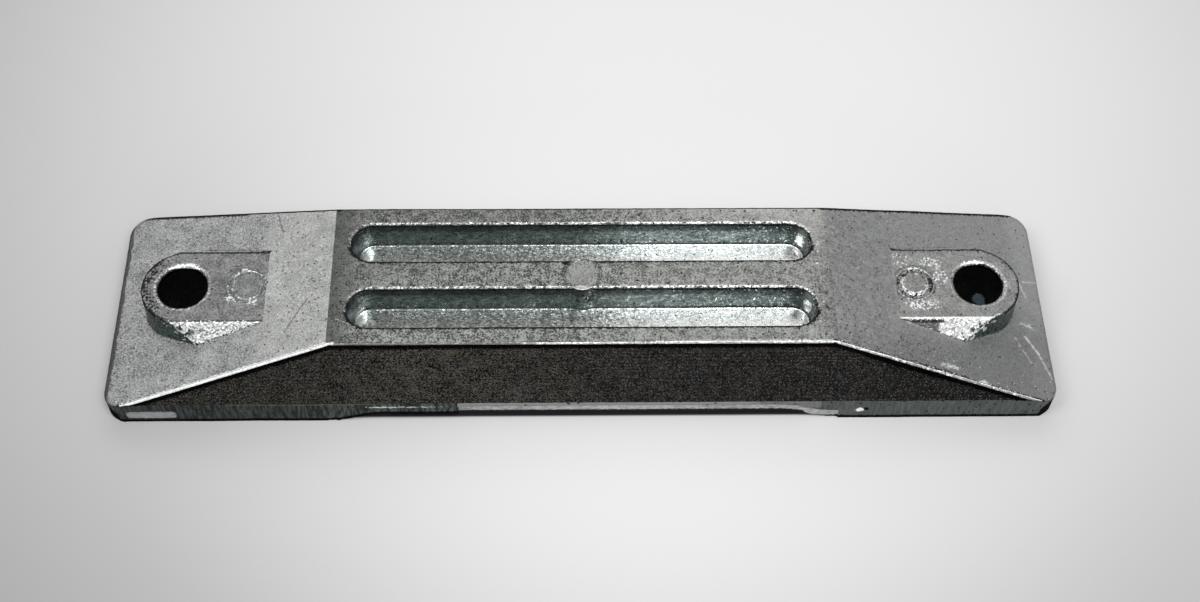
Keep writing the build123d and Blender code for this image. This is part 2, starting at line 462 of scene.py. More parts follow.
@dataclass
class WearAndLightPainter:
    """Works out each point's worn skin with painted highlights, and its soiling with painted shade.

    Attributes:
        points: The skin's points in metres, one a row.
        touched: The zones that each point touches, as one bit a zone.
    """

    points: np.ndarray
    touched: np.ndarray

    def layer(self, name: str, bends: np.ndarray) -> np.ndarray:
        """Works out one layer.

        Args:
            name: Which layer, the lighter or the darker.
            bends: The amount that comes from creases alone.

        Returns:
            The amount at each point, from 0 to 1.
        """
        total = bends.copy()
        for seam in SEAMS:
            if seam.layer == name:
                total = np.maximum(total, self._seam(seam))
        for spot_mark in SPOT_MARKS:
            if spot_mark.layer == name:
                total += self._spot_mark(spot_mark)
        return np.clip(total, 0.0, 1.0)

    def on(self, zones: set[Zone]) -> np.ndarray:
        """True for each point that touches one of these zones."""
        bits = sum(1 << n for n, zone in enumerate(Zone) if zone in zones)
        return (self.touched & bits) > 0

    def border(self, first: set[Zone], second: set[Zone]) -> np.ndarray:
        """True for each point that touches both sorts of zone."""
        return self.on(first) & self.on(second)

    def _seam(self, seam: Seam) -> np.ndarray:
        """The amount that one seam adds to each point."""
        low, high = np.array(seam.low) * MM, np.array(seam.high) * MM
        within = ((self.points >= low) & (self.points <= high)).all(axis=1)
        line = np.flatnonzero(self.border(*seam.between) & within)
        layer_amount = np.zeros(len(self.points))
        if not len(line):
            return layer_amount
        tree = tree_of(self.points[line])
        for n in np.flatnonzero(self.on(seam.over)):
            away = tree.find(self.points[n])[2] / (seam.reach * MM)
            layer_amount[n] = seam.strength * max(0.0, 1.0 - away * away)
        return layer_amount

    def _spot_mark(self, spot_mark: SpotMark) -> np.ndarray:
        """The amount that one spot mark adds to each point."""
        turn = math.radians(spot_mark.turn)
        apart = self.points / MM - np.array(spot_mark.centre)
        along = apart[:, 0] * math.cos(turn) + apart[:, 1] * math.sin(turn)
        across = apart[:, 1] * math.cos(turn) - apart[:, 0] * math.sin(turn)
        scaled = np.column_stack([along, across, apart[:, 2]]) / np.array(spot_mark.reach)
        fullness = 1.3
        share = np.clip(fullness - fullness * (scaled**2).sum(axis=1), 0.0, 1.0)
        if spot_mark.ring:
            middle = np.array(spot_mark.ring[:2])
            radius = np.linalg.norm(self.points[:, :2] / MM - middle, axis=1)
            off = np.abs(radius - spot_mark.ring[2]) / spot_mark.ring_reach
            share *= np.clip(1.0 - off**2, 0, 1)
        return spot_mark.strength * share


@dataclass
class SkinMesh:
    """Triangles and points of the casting's skin, filled in patch by patch.

    A patch is a flat area of one zone. The seams between patches are split into short steps that
    both sides share, and each patch is then filled with an even spread of points.

    Attributes:
        step: Distance between points.
        under_step: Distance between points underneath.
        clear: Least distance from an inner point to a seam, as a share of the step.
        level: Greatest angle between faces of one patch.
        weld: Distance in millimetres at which points of a flat patch are one.
        thinnest: Least area of a triangle, as a share of its longest side squared.
        points: The points made so far.
        triangles: The point numbers of each triangle made so far.
        zones: The zone number of each triangle.
    """

    step: float = 0.48 * MM
    under_step: float = 1.6 * MM
    clear: float = 0.62
    level: float = math.radians(0.06)
    weld: float = 1e-6
    thinnest: float = 1e-4
    points: list[Vector] = field(default_factory=list)
    triangles: list[tuple[int, int, int]] = field(default_factory=list)
    zones: list[int] = field(default_factory=list)

    def fill(self, mesh: bmesh.types.BMesh) -> None:
        """Covers the whole casting.

        Args:
            mesh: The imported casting, its zones marked as material slots.
        """
        self.points = [v.co.copy() for v in mesh.verts]
        patches = self._patches(mesh)
        owner = {face: n for n, patch in enumerate(patches) for face in patch}
        seams: dict[int, list[list[int]]] = {n: [] for n in range(len(patches))}
        for edge in mesh.edges:
            sides = {owner[f] for f in edge.link_faces}
            if len(sides) == 2:
                line = self._split(edge)
                for n in sides:
                    seams[n].append(line)
        for n, patch in enumerate(patches):
            self._fill_patch(patch, seams[n])

    def _step_of(self, faces: list[bmesh.types.BMFace]) -> float:
        """The point spacing on these faces, which is wide only where all lie underneath."""
        under = list(Zone).index(Zone.SEAT)
        return self.under_step if all(f.material_index == under for f in faces) else self.step

    def _patches(self, mesh: bmesh.types.BMesh) -> list[list[bmesh.types.BMFace]]:
        """Gathers the faces that lie in one plane and one zone.

        Args:
            mesh: The casting.

        Returns:
            The faces of each patch.
        """
        seen: set[bmesh.types.BMFace] = set()
        patches = []
        for first in mesh.faces:
            if first in seen:
                continue
            seen.add(first)
            patch = [first]
            for face in patch:
                for edge in face.edges:
                    for other in edge.link_faces:
                        alike = other.material_index == first.material_index
                        if other in seen or not alike:
                            continue
                        if other.normal.angle(first.normal, math.pi) < self.level:
                            seen.add(other)
                            patch.append(other)
            patches.append(patch)
        return patches

    def _split(self, edge: bmesh.types.BMEdge) -> list[int]:
        """Splits a seam edge into short steps.

        Args:
            edge: The edge between two patches.

        Returns:
            The point numbers along it.
        """
        start, end = edge.verts
        parts = max(1, math.ceil(edge.calc_length() / self._step_of(list(edge.link_faces))))
        line = [start.index]
        for k in range(1, parts):
            line.append(len(self.points))
            self.points.append(start.co.lerp(end.co, k / parts))
        return [*line, end.index]

    def _fill_patch(self, patch: list[bmesh.types.BMFace], lines: list[list[int]]) -> None:
        """Triangulates one patch between its seams.

        Args:
            patch: Its faces.
            lines: The point numbers along each of its seam edges.
        """
        normal = patch[0].normal
        across = normal.orthogonal().normalized()
        frame_2d = np.array([across, normal.cross(across)]) / MM
        rim = sorted({n for line in lines for n in line})
        spot = {n: k for k, n in enumerate(rim)}
        flat = [Vector(frame_2d @ np.array(self.points[n])) for n in rim]
        edges = [(spot[a], spot[b]) for line in lines for a, b in zip(line, line[1:])]
        shape = np.array([[frame_2d @ np.array(v.co) for v in f.verts] for f in patch])
        inner = self._spread(shape, flat, self._step_of(patch) / MM)
        base = self.points[rim[0]] - Vector(np.array(flat[0]) @ frame_2d) * MM * MM
        numbers = rim + list(range(len(self.points), len(self.points) + len(inner)))
        self.points += [base + Vector(np.array(p) @ frame_2d) * MM * MM for p in inner]
        made = delaunay_2d_cdt(flat + inner, edges, [], 0, self.weld)
        places = np.array([tuple(p) for p in made[0]])
        source = [numbers[origin[0]] for origin in made[3]]
        tris = np.array(made[2])
        kept = self._inside(places[tris].mean(axis=1), shape) & self._full(places[tris])
        for tri in tris[kept]:
            self.triangles.append(tuple(source[k] for k in tri))
            self.zones.append(patch[0].material_index)

    def _spread(self, shape: np.ndarray, rim: list[Vector], step: float) -> list[Vector]:
        """Lays an even triangular pattern of points inside a patch, clear of its seams.

        Args:
            shape: The patch's faces as flat triangles.
            rim: The seam points.
            step: Distance between points.

        Returns:
            The points.
        """
        low, high = shape.min(axis=(0, 1)), shape.max(axis=(0, 1))
        if min(high - low) < step:
            return []
        row = step * math.sqrt(3) / 2
        spots = [
            (low[0] + (i + 0.5 * (j % 2)) * step, low[1] + j * row)
            for j in range(1, int((high[1] - low[1]) / row) + 1)
            for i in range(int((high[0] - low[0]) / step) + 1)
        ]
        if not spots:
            return []
        within = np.array(spots)[self._inside(np.array(spots), shape)]
        tree = tree_of([(*place, 0.0) for place in rim])
        return [Vector(p) for p in within if tree.find((*p, 0.0))[2] > self.clear * step]

    def _inside(self, places: np.ndarray, shape: np.ndarray) -> np.ndarray:
        """Tells which places lie in any of the flat triangles.

        Args:
            places: One place a row.
            shape: The triangles.

        Returns:
            True for each place inside.
        """
        found = np.zeros(len(places), dtype=bool)
        for tri in shape:
            low, high = tri.min(axis=0), tri.max(axis=0)
            near = ~found & (places >= low).all(axis=1) & (places <= high).all(axis=1)
            if not near.any():
                continue
            side = tri[[1, 2, 0]] - tri
            apart = places[near][:, None, :] - tri[None]
            turn = side[:, 0] * apart[:, :, 1] - side[:, 1] * apart[:, :, 0]
            found[near] = (turn >= 0).all(axis=1) | (turn <= 0).all(axis=1)
        return found

    def _full(self, tris: np.ndarray) -> np.ndarray:
        """Tells which flat triangles are wide enough to keep."""
        one, two = tris[:, 1] - tris[:, 0], tris[:, 2] - tris[:, 0]
        area = np.abs(one[:, 0] * two[:, 1] - one[:, 1] * two[:, 0])
        longest = np.maximum((one**2).sum(axis=1), (two**2).sum(axis=1))
        return area > self.thinnest * longest

    def made(self, name: str) -> bpy.types.Mesh:
        """Turns the triangles into a mesh whose faces all look outward.

        Args:
            name: The mesh's name.

        Returns:
            The new mesh.
        """
        data = bpy.data.meshes.new(name)
        data.from_pydata(self.points, [], self.triangles)
        data.polygons.foreach_set("material_index", self.zones)
        mesh = bmesh.new()
        mesh.from_mesh(data)
        bmesh.ops.recalc_face_normals(mesh, faces=mesh.faces[:])
        loose = [v for v in mesh.verts if not v.link_faces]
        bmesh.ops.delete(mesh, geom=loose, context="VERTS")
        mesh.to_mesh(data)
        mesh.free()
        return data


@dataclass
class Casting:
    """The one-piece casting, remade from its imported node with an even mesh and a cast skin.

    Attributes:
        sizes: The casting's sizes.
        softness: How far each point of a crease moves to the mean of its neighbours.
        lip_draw: How far the foot's lower edge is drawn in.
        rim_reach: How far round a bolt hole its top edge is sunk.
        rim_drop: How deep it is sunk.
        mingle_reach: How far the finishes of a boss's sides run into each other.
        swell_length: Distance from swell to swell of the mould's unevenness.
        grain_length: Distance from grain to grain.
        seed: Where the noise is read.
    """

    sizes: CastingSizes
    softness: float = 0.3
    lip_draw: float = 0.10 * MM
    rim_reach: float = 0.35 * MM
    rim_drop: float = 0.12 * MM
    mingle_reach: float = 1.6 * MM
    swell_length: float = 9.0 * MM
    grain_length: float = 1.1 * MM
    seed: Vector = field(default_factory=lambda: Vector((3.7, 11.3, 5.9)))

    def build(self, finishes: dict[Zone, bpy.types.Material]) -> bpy.types.Object:
        """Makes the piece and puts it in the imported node's place.

        Args:
            finishes: The material of each zone.

        Returns:
            The finished piece.
        """
        weld = 0.001 * MM
        mesh = bmesh.new()
        mesh.from_mesh(frame["nodes"][PIECE_NAME].data)
        bmesh.ops.remove_doubles(mesh, verts=mesh.verts, dist=weld)
        bmesh.ops.triangulate(mesh, faces=mesh.faces[:])
        mesh.verts.index_update()
        self._mark_zones(mesh)
        skin = SkinMesh()
        skin.fill(mesh)
        mesh.free()
        data = skin.made("anode_casting_skin")
        for zone in Zone:
            data.materials.append(finishes[zone])
        self._soften(data)
        self._round_lips(data)
        self._mingle(data, Zone.FACET, Zone.DRUM)
        self._mark_wear_and_light(data)
        self._roughen(data)
        data.shade_smooth()
        piece = bpy.data.objects.new("anode_casting_detailed", data)
        bpy.context.scene.collection.objects.link(piece)
        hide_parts(PIECE_NAME)
        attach(piece, "root")
        log.info("casting: %d faces", len(data.polygons))
        return piece

    def _mark_zones(self, mesh: bmesh.types.BMesh) -> None:
        """Gives each face the material slot of its zone."""
        finder = ZoneFinder(self.sizes)
        order = list(Zone)
        for face in mesh.faces:
            zone = finder.zone_of(face.calc_center_median(), face.normal)
            face.material_index = order.index(zone)

    def _soften(self, data: bpy.types.Mesh) -> None:
        """Rounds the creases a little, as a casting's are."""
        points, pairs = self._arrays(data)
        seat_level = 0.01 * MM
        crisp = self._flat_points(data, len(points)) | (points[:, 2] < seat_level)
        moved = self._neighbour_mean(points, pairs)
        points[~crisp] += self.softness * (moved - points)[~crisp]
        self._move(data, points)

    def _move(self, data: bpy.types.Mesh, points: np.ndarray) -> None:
        """Writes the points, one a row, back to the mesh."""
        data.vertices.foreach_set("co", points.astype(np.float32).ravel())
        data.update()

    def _arrays(self, data: bpy.types.Mesh) -> tuple[np.ndarray, np.ndarray]:
        """Reads a mesh.

        Args:
            data: The mesh.

        Returns:
            Its points, one a row, and the two point numbers of each edge.
        """
        points = np.empty(len(data.vertices) * 3)
        data.vertices.foreach_get("co", points)
        pairs = np.empty(len(data.edges) * 2, dtype=np.int64)
        data.edges.foreach_get("vertices", pairs)
        return points.reshape(-1, 3), pairs.reshape(-1, 2)

    def _neighbour_mean(self, values: np.ndarray, pairs: np.ndarray) -> np.ndarray:
        """Averages each point's neighbours.

        Args:
            values: One row a point.
            pairs: The two point numbers of each edge.

        Returns:
            The mean of the neighbours' rows, one row a point.
        """
        ends = np.concatenate([pairs[:, 0], pairs[:, 1]])
        others = np.concatenate([pairs[:, 1], pairs[:, 0]])
        many = len(values)
        count = np.bincount(ends, minlength=many)
        return summed_by(ends, values[others], many) / count[:, None]

    def _corners(self, data: bpy.types.Mesh) -> tuple[np.ndarray, np.ndarray]:
        """Reads a mesh's triangles.

        Args:
            data: The mesh.

        Returns:
            The point numbers of all corners in one row, and each face's zone number.
        """
        corners = np.empty(len(data.polygons) * 3, dtype=np.int64)
        data.polygons.foreach_get("vertices", corners)
        zones = np.empty(len(data.polygons), dtype=np.int64)
        data.polygons.foreach_get("material_index", zones)
        return corners, zones

    def _flat_points(self, data: bpy.types.Mesh, many: int) -> np.ndarray:
        """Marks the points whose faces all lie in one plane.

        Args:
            data: The mesh.
            many: How many points it has.

        Returns:
            True for each such point.
        """
        alike = 0.99995
        corners, _ = self._corners(data)
        normals = np.empty(len(data.polygons) * 3)
        data.polygons.foreach_get("normal", normals)
        rows = np.repeat(normals.reshape(-1, 3), 3, axis=0)
        count = np.bincount(corners, minlength=many)
        return np.linalg.norm(summed_by(corners, rows, many), axis=1) > alike * count

    def _point_normals(self, data: bpy.types.Mesh) -> np.ndarray:
        """The mesh's smooth normals, one row a point."""
        normals = np.empty(len(data.vertices) * 3)
        data.vertex_normals.foreach_get("vector", normals)
        return normals.reshape(-1, 3)

    def _painter(self, data: bpy.types.Mesh) -> WearAndLightPainter:
        """Gathers which zones each point touches."""
        points, _ = self._arrays(data)
        corners, zones = self._corners(data)
        touched = np.zeros(len(points), dtype=np.int64)
        np.bitwise_or.at(touched, corners, np.repeat(1 << zones, 3))
        return WearAndLightPainter(points, touched)

    def _round_lips(self, data: bpy.types.Mesh) -> None:
        """Draws in the foot's lower edge and sinks the bolt holes' rims."""
        painter = self._painter(data)
        points, normals = painter.points, self._point_normals(data)
        lip = painter.border(FEET, {Zone.SEAT})
        outward = normals[lip] * (1.0, 1.0, 0.0)
        shortest = 0.01
        length = np.maximum(np.linalg.norm(outward, axis=1), shortest)
        points[lip] -= self.lip_draw * outward / length[:, None]
        middle = np.abs(points[:, 0]) - self.sizes.hole_reach
        beyond = np.hypot(middle, points[:, 1]) - self.sizes.hole_radius
        share = np.clip(1.0 - np.abs(beyond) / self.rim_reach, 0.0, 1.0)
        below_pad = 0.8 * MM
        high = points[:, 2] > self.sizes.pad_height - below_pad
        points[high, 2] -= self.rim_drop * share[high]
        self._move(data, points)

    def _mingle(self, data: bpy.types.Mesh, first: Zone, second: Zone) -> None:
        """Lets two neighbouring finishes run into each other.

        Args:
            data: The mesh.
            first: One finish's zone.
            second: The other's.
        """
        painter = self._painter(data)
        tree = tree_of(painter.points[painter.border({first}, {second})])
        order = list(Zone)
        swap = {order.index(first): order.index(second), order.index(second): order.index(first)}
        island, least = 0.6 * self.mingle_reach, 0.35
        for face in data.polygons:
            if face.material_index in swap:
                near = 1.0 - tree.find(face.center)[2] / self.mingle_reach
                wander = noise.noise(face.center / island + self.seed)
                if near > 0 and wander > least - least * near:
                    face.material_index = swap[face.material_index]

    def _mark_wear_and_light(self, data: bpy.types.Mesh) -> None:
        """Writes each point's soiling with painted shade and worn skin with painted highlights."""
        points, pairs = self._arrays(data)
        normals = self._point_normals(data)
        lean = ((points - self._neighbour_mean(points, pairs)) * normals).sum(axis=1)
        start, full = 0.02 * MM, 0.07 * MM
        hollow, crest = -1, 1
        painter = self._painter(data)
        clear_share = np.ones(len(points))
        # Hollows darken as painted shade; crests lighten as worn skin and painted highlight.
        for name, side, most in ((DIRT_AND_SHADE, hollow, 0.5), (WEAR_AND_GLINT, crest, 0.3)):
            bends = most * np.clip((side * lean - start) / (full - start), 0, 1)
            bends[painter.on(FEET)] = 0.0
            layer_amount = painter.layer(name, bends * clear_share)
            clear_share = 1.0 - layer_amount
            layer = data.attributes.new(name, "FLOAT", "POINT")
            layer.data.foreach_set("value", layer_amount.astype(np.float32))

    def _roughen(self, data: bpy.types.Mesh) -> None:
        """Lifts and sinks the points to give the skin its mould marks and cast grain."""
        points, pairs = self._arrays(data)
        normals = self._point_normals(data)
        amounts = self._zone_relief(data, len(points))
        blends = 2
        for _ in range(blends):
            amounts = (amounts + self._neighbour_mean(amounts, pairs)) / 2
        lift = np.empty((len(points), 2))
        for i, place in enumerate(points):
            at = Vector(place)
            lift[i, 0] = noise.noise(at / self.swell_length + self.seed)
            lift[i, 1] = noise.noise(at / self.grain_length - self.seed)
        points += normals * (lift * amounts).sum(axis=1)[:, None]
        self._move(data, points)

    def _zone_relief(self, data: bpy.types.Mesh, many: int) -> np.ndarray:
        """Averages the relief of the zones round each point.

        Args:
            data: The mesh.
            many: How many points it has.

        Returns:
            The swell and grain height of each point, one row a point.
        """
        corners, zones = self._corners(data)
        table = np.array([[RELIEF[z].swell, RELIEF[z].grain] for z in Zone]) * MM
        rows = np.repeat(table[zones], 3, axis=0)
        count = np.bincount(corners, minlength=many)
        return summed_by(corners, rows, many) / count[:, None]


class NodeBench:
    """Adds and joins shader nodes in one tree."""

    def __init__(self, tree: bpy.types.NodeTree) -> None:
        """Takes the tree that the nodes go into."""
        self.tree = tree

    def add(self, kind: str, **settings: object) -> bpy.types.Node:
        """Adds a node.

        Args:
            kind: The node's type, without its ShaderNode prefix.
            settings: Attributes of the node, such as its operation.

        Returns:
            The new node.
        """
        node = self.tree.nodes.new("ShaderNode" + kind)
        for name, value in settings.items():
            setattr(node, name, value)
        return node

    def feed(self, socket: bpy.types.NodeSocket, source: object) -> None:
        """Links a source socket to an input, or writes a plain value on it."""
        if isinstance(source, bpy.types.NodeSocket):
            self.tree.links.new(source, socket)
        else:
            socket.default_value = source

    def math(self, operation: str, *values: object, clamp: bool = False) -> bpy.types.NodeSocket:
        """Adds a Math node.

        Args:
            operation: What it works out.
            values: Its inputs, as sockets or numbers.
            clamp: Whether the result is kept between 0 and 1.

        Returns:
            Its output.
        """
        node = self.add("Math", operation=operation, use_clamp=clamp)
        for socket, value in zip(node.inputs, values):
            self.feed(socket, value)
        return node.outputs[0]

    def vector(self, operation: str, *values: object) -> bpy.types.NodeSocket:
        """Adds a Vector Math node.

        Args:
            operation: What it works out.
            values: Its inputs in order; the second of SCALE goes to Scale.

        Returns:
            Its output.
        """
        node = self.add("VectorMath", operation=operation)
        for spot, value in enumerate(values):
            scales = operation == "SCALE" and spot == 1
            self.feed(node.inputs["Scale" if scales else spot], value)
        return node.outputs["Value" if operation in {"LENGTH", "DOT_PRODUCT"} else "Vector"]

    def per(self, size: object) -> bpy.types.NodeSocket:
        """One over a size, as the scale of a texture."""
        return self.math("DIVIDE", 1.0, size)

    def remap(
        self, value: object, start: object, end: object, low: object = 0.0, high: object = 1.0
    ) -> bpy.types.NodeSocket:
        """Adds a smooth Map Range node.

        Args:
            value: What is mapped.
            start: The value that gives low.
            end: The value that gives high.
            low: The result at start.
            high: The result at end.

        Returns:
            The mapped value.
        """
        node = self.add("MapRange", interpolation_type="SMOOTHSTEP")
        for name, source in zip(
            ("Value", "From Min", "From Max", "To Min", "To Max"), (value, start, end, low, high)
        ):
            self.feed(node.inputs[name], source)
        return node.outputs["Result"]

    def mix(self, share: object, first: object, second: object) -> bpy.types.NodeSocket:
        """Mixes two colours.

        Args:
            share: How much of the second shows.
            first: The colour at 0.
            second: The colour at 1.

        Returns:
            The mixed colour.
        """
        node = self.add("Mix", data_type="RGBA")
        self.feed(node.inputs["Factor"], share)
        for name, colour in (("A", first), ("B", second)):
            socket = next(s for s in node.inputs if s.name == name and s.type == "RGBA")
            self.feed(socket, (*colour, 1.0) if isinstance(colour, tuple) else colour)
        return next(s for s in node.outputs if s.type == "RGBA")

    def noise(self, place: object, scale: object, detail: float) -> bpy.types.NodeSocket:
        """Adds a Noise Texture.

        Args:
            place: Where it is read.
            scale: Waves in each unit of place.
            detail: How many finer layers it has.

        Returns:
            Its value from 0 to 1.
        """
        node = self.add("TexNoise")
        self.feed(node.inputs["Vector"], place)
        self.feed(node.inputs["Scale"], scale)
        node.inputs["Detail"].default_value = detail
        return node.outputs["Fac"]

    def wander(
        self, place: object, scale: object, detail: float, reach: object
    ) -> bpy.types.NodeSocket:
        """Makes an uneven shift, for a ragged edge.

        Args:
            place: Where it is read.
            scale: Waves in each unit of place.
            detail: How many finer layers it has.
            reach: How wide it swings about 0.

        Returns:
            The shift.
        """
        half_way = 0.5
        centred = self.math("SUBTRACT", self.noise(place, scale, detail), half_way)
        return self.math("MULTIPLY", centred, reach)

    def cells(self, place: object, size: object) -> bpy.types.Node:
        """Adds a Voronoi Texture that gives each cell a colour and a distance."""
        node = self.add("TexVoronoi")
        self.feed(node.inputs["Vector"], place)
        self.feed(node.inputs["Scale"], self.per(size))
        return node

    def effect(
        self, group: bpy.types.NodeTree, place: bpy.types.NodeSocket, **values: object
    ) -> bpy.types.bpy_prop_collection:
        """Places a shared effect.

        Args:
            group: The effect.
            place: The surface point.
            values: The effect's other inputs by name, as sockets or plain values.

        Returns:
            Its outputs.
        """
        node = self.add("Group", node_tree=group)
        self.feed(node.inputs["Place"], place)
        for name, value in values.items():
            self.feed(node.inputs[name], value)
        return node.outputs


@dataclass
class EffectGroup:
    """A shader node group with named inputs and outputs.

    Attributes:
        name: What it is called.
        inputs: The plain value of each input, or None for a vector.
        outputs: What it puts out; Normal is a vector and the rest are numbers.
    """

    name: str
    inputs: dict[str, float | None]
    outputs: tuple[str, ...] = ("Mask",)

    def start(
        self,
    ) -> tuple[NodeBench, bpy.types.bpy_prop_collection, bpy.types.bpy_prop_collection]:
        """Makes the empty group.

        Returns:
            Its bench, the sockets that its inputs come in by and those of its outputs.
        """
        number, vector = "NodeSocketFloat", "NodeSocketVector"
        tree = bpy.data.node_groups.new(self.name, "ShaderNodeTree")
        for name, value in self.inputs.items():
            kind = vector if value is None else number
            socket = tree.interface.new_socket(name, in_out="INPUT", socket_type=kind)
            if value is not None:
                socket.default_value = value
        for name in self.outputs:
            kind = vector if name == "Normal" else number
            tree.interface.new_socket(name, in_out="OUTPUT", socket_type=kind)
        source = tree.nodes.new("NodeGroupInput")
        target = tree.nodes.new("NodeGroupOutput")
        return NodeBench(tree), source.outputs, target.inputs


class Effects:
    """The surface effects that the finishes share, each built once."""

    def __init__(self) -> None:
        """Builds the groups."""
        self.grain = self._grain()
        self.spangle = self._spangle()
        self.specks = self._specks()
        self.fade = self._fade()
        self.stroke = self._stroke()
        self.patch = self._patch()
        self.broken = self._broken()

    def _grain(self) -> bpy.types.NodeTree:
        """Cast grain: a value for tone and a height, from two layers of noise."""
        group = EffectGroup(
            "cast_grain",
            {"Place": None, "Stretch": None, "Size": 0.5, "Patch": 6.0, "Contrast": 1.0,
             "Mottle": 0.5, "Level": 0.5},
            ("Tone", "Height"),
        )
        bench, given, wanted = group.start()
        place = bench.vector("MULTIPLY", given["Place"], given["Stretch"])
        fine = bench.noise(place, bench.per(given["Size"]), detail=3.0)
        patch = bench.noise(place, bench.per(given["Patch"]), detail=4.0)
        half_way, gain = 0.5, 2.5
        parts = []
        for value, share in ((fine, "Contrast"), (patch, "Mottle")):
            centred = bench.math("MULTIPLY", bench.math("SUBTRACT", value, half_way), gain)
            parts.append(bench.math("MULTIPLY", centred, given[share]))
        tone = bench.math("ADD", bench.math("ADD", *parts), given["Level"], clamp=True)
        bench.feed(wanted["Tone"], tone)
        bench.feed(wanted["Height"], fine)
        return bench.tree

    def _spangle(self) -> bpy.types.NodeTree:
        """Zinc crystals: small flat grains that each lean their own way and catch the light."""
        group = EffectGroup("zinc_spangle", {"Place": None, "Size": 0.3, "Tilt": 0.3}, ("Normal",))
        bench, given, wanted = group.start()
        cells = bench.cells(given["Place"], given["Size"])
        centred = bench.vector("SUBTRACT", cells.outputs["Color"], (0.5, 0.5, 0.5))
        lean = bench.vector("SCALE", centred, given["Tilt"])
        upright = bench.add("NewGeometry").outputs["Normal"]
        leaning = bench.vector("NORMALIZE", bench.vector("ADD", upright, lean))
        bench.feed(wanted["Normal"], leaning)
        return bench.tree

    def _specks(self) -> bpy.types.NodeTree:
        """Scattered small spots, as a mask."""
        group = EffectGroup("scattered_specks", {"Place": None, "Size": 0.6, "Share": 0.2})
        bench, given, wanted = group.start()
        spot_rim, spot_core = 0.45, 0.25
        cells = bench.cells(given["Place"], given["Size"])
        split = bench.add("SeparateColor")
        bench.feed(split.inputs[0], cells.outputs["Color"])
        chosen = bench.math("LESS_THAN", split.outputs[1], given["Share"])
        near = bench.remap(cells.outputs["Distance"], spot_rim, spot_core)
        bench.feed(wanted["Mask"], bench.math("MULTIPLY", chosen, near))
        return bench.tree

    def _fade(self) -> bpy.types.NodeTree:
        """A mask that comes in along one way, with a ragged edge."""
        group = EffectGroup(
            "ragged_fade",
            {"Place": None, "Along": None, "Clear": 0.0, "Full": 1.0, "Ragged": 0.0, "Size": 1.5},
        )
        bench, given, wanted = group.start()
        way = bench.vector("DOT_PRODUCT", given["Place"], given["Along"])
        detail = 4.0
        shift = bench.wander(given["Place"], bench.per(given["Size"]), detail, given["Ragged"])
        moved = bench.math("ADD", way, shift)
        bench.feed(wanted["Mask"], bench.remap(moved, given["Clear"], given["Full"]))
        return bench.tree

    def _stroke(self) -> bpy.types.NodeTree:
        """A mask for one scratch in plan: straight, or all round that line at a radius."""
        group = EffectGroup(
            "stroke",
            {"Place": None, "Start": None, "End": None, "Radius": 0.0, "Width": 0.2, "Ragged": 0.2},
        )
        bench, given, wanted = group.start()
        waves, detail, core = 1.6, 3.0, 0.3
        plan = bench.vector("MULTIPLY", given["Place"], (1.0, 1.0, 0.0))
        reach = bench.vector("SUBTRACT", given["End"], given["Start"])
        apart = bench.vector("SUBTRACT", plan, given["Start"])
        share = bench.math(
            "DIVIDE",
            bench.vector("DOT_PRODUCT", apart, reach),
            bench.vector("DOT_PRODUCT", reach, reach),
            clamp=True,
        )
        nearest = bench.vector("SCALE", reach, share)
        length = bench.vector("LENGTH", bench.vector("SUBTRACT", apart, nearest))
        away = bench.math("ABSOLUTE", bench.math("SUBTRACT", length, given["Radius"]))
        shift = bench.wander(plan, waves, detail, given["Ragged"])
        inner = bench.math("MULTIPLY", given["Width"], core)
        moved = bench.math("ADD", away, shift)
        bench.feed(wanted["Mask"], bench.remap(moved, given["Width"], inner))
        return bench.tree

    def _patch(self) -> bpy.types.NodeTree:
        """A mask for one box-shaped place with round corners and a ragged edge."""
        group = EffectGroup(
            "patch", {"Place": None, "Centre": None, "Half": None, "Round": 0.4, "Ragged": 0.4}
        )
        bench, given, wanted = group.start()
        waves, detail, core = 1.8, 4.0, 0.5
        apart = bench.vector("SUBTRACT", given["Place"], given["Centre"])
        over = bench.vector("SUBTRACT", bench.vector("ABSOLUTE", apart), given["Half"])
        away = bench.vector("LENGTH", bench.vector("MAXIMUM", over, (0.0, 0.0, 0.0)))
        shift = bench.wander(given["Place"], waves, detail, given["Ragged"])
        inner = bench.math("MULTIPLY", given["Round"], core)
        moved = bench.math("ADD", away, shift)
        bench.feed(wanted["Mask"], bench.remap(moved, given["Round"], inner))
        return bench.tree

    def _broken(self) -> bpy.types.NodeTree:
        """Breaks an even amount of a layer up into a mask with natural gaps."""
        group = EffectGroup(
            "broken_wear", {"Place": None, "Amount": 0.0, "Size": 0.7, "Breaks": 1.5}
        )
        bench, given, wanted = group.start()
        detail = 3.0
        sure, starts, full = 0.15, 0.25, 0.65
        shift = bench.wander(given["Place"], bench.per(given["Size"]), detail, given["Breaks"])
        moved = bench.math("ADD", given["Amount"], shift)
        there = bench.remap(given["Amount"], 0.0, sure)
        mask = bench.math("MULTIPLY", bench.remap(moved, starts, full), there)
        bench.feed(wanted["Mask"], mask)
        return bench.tree


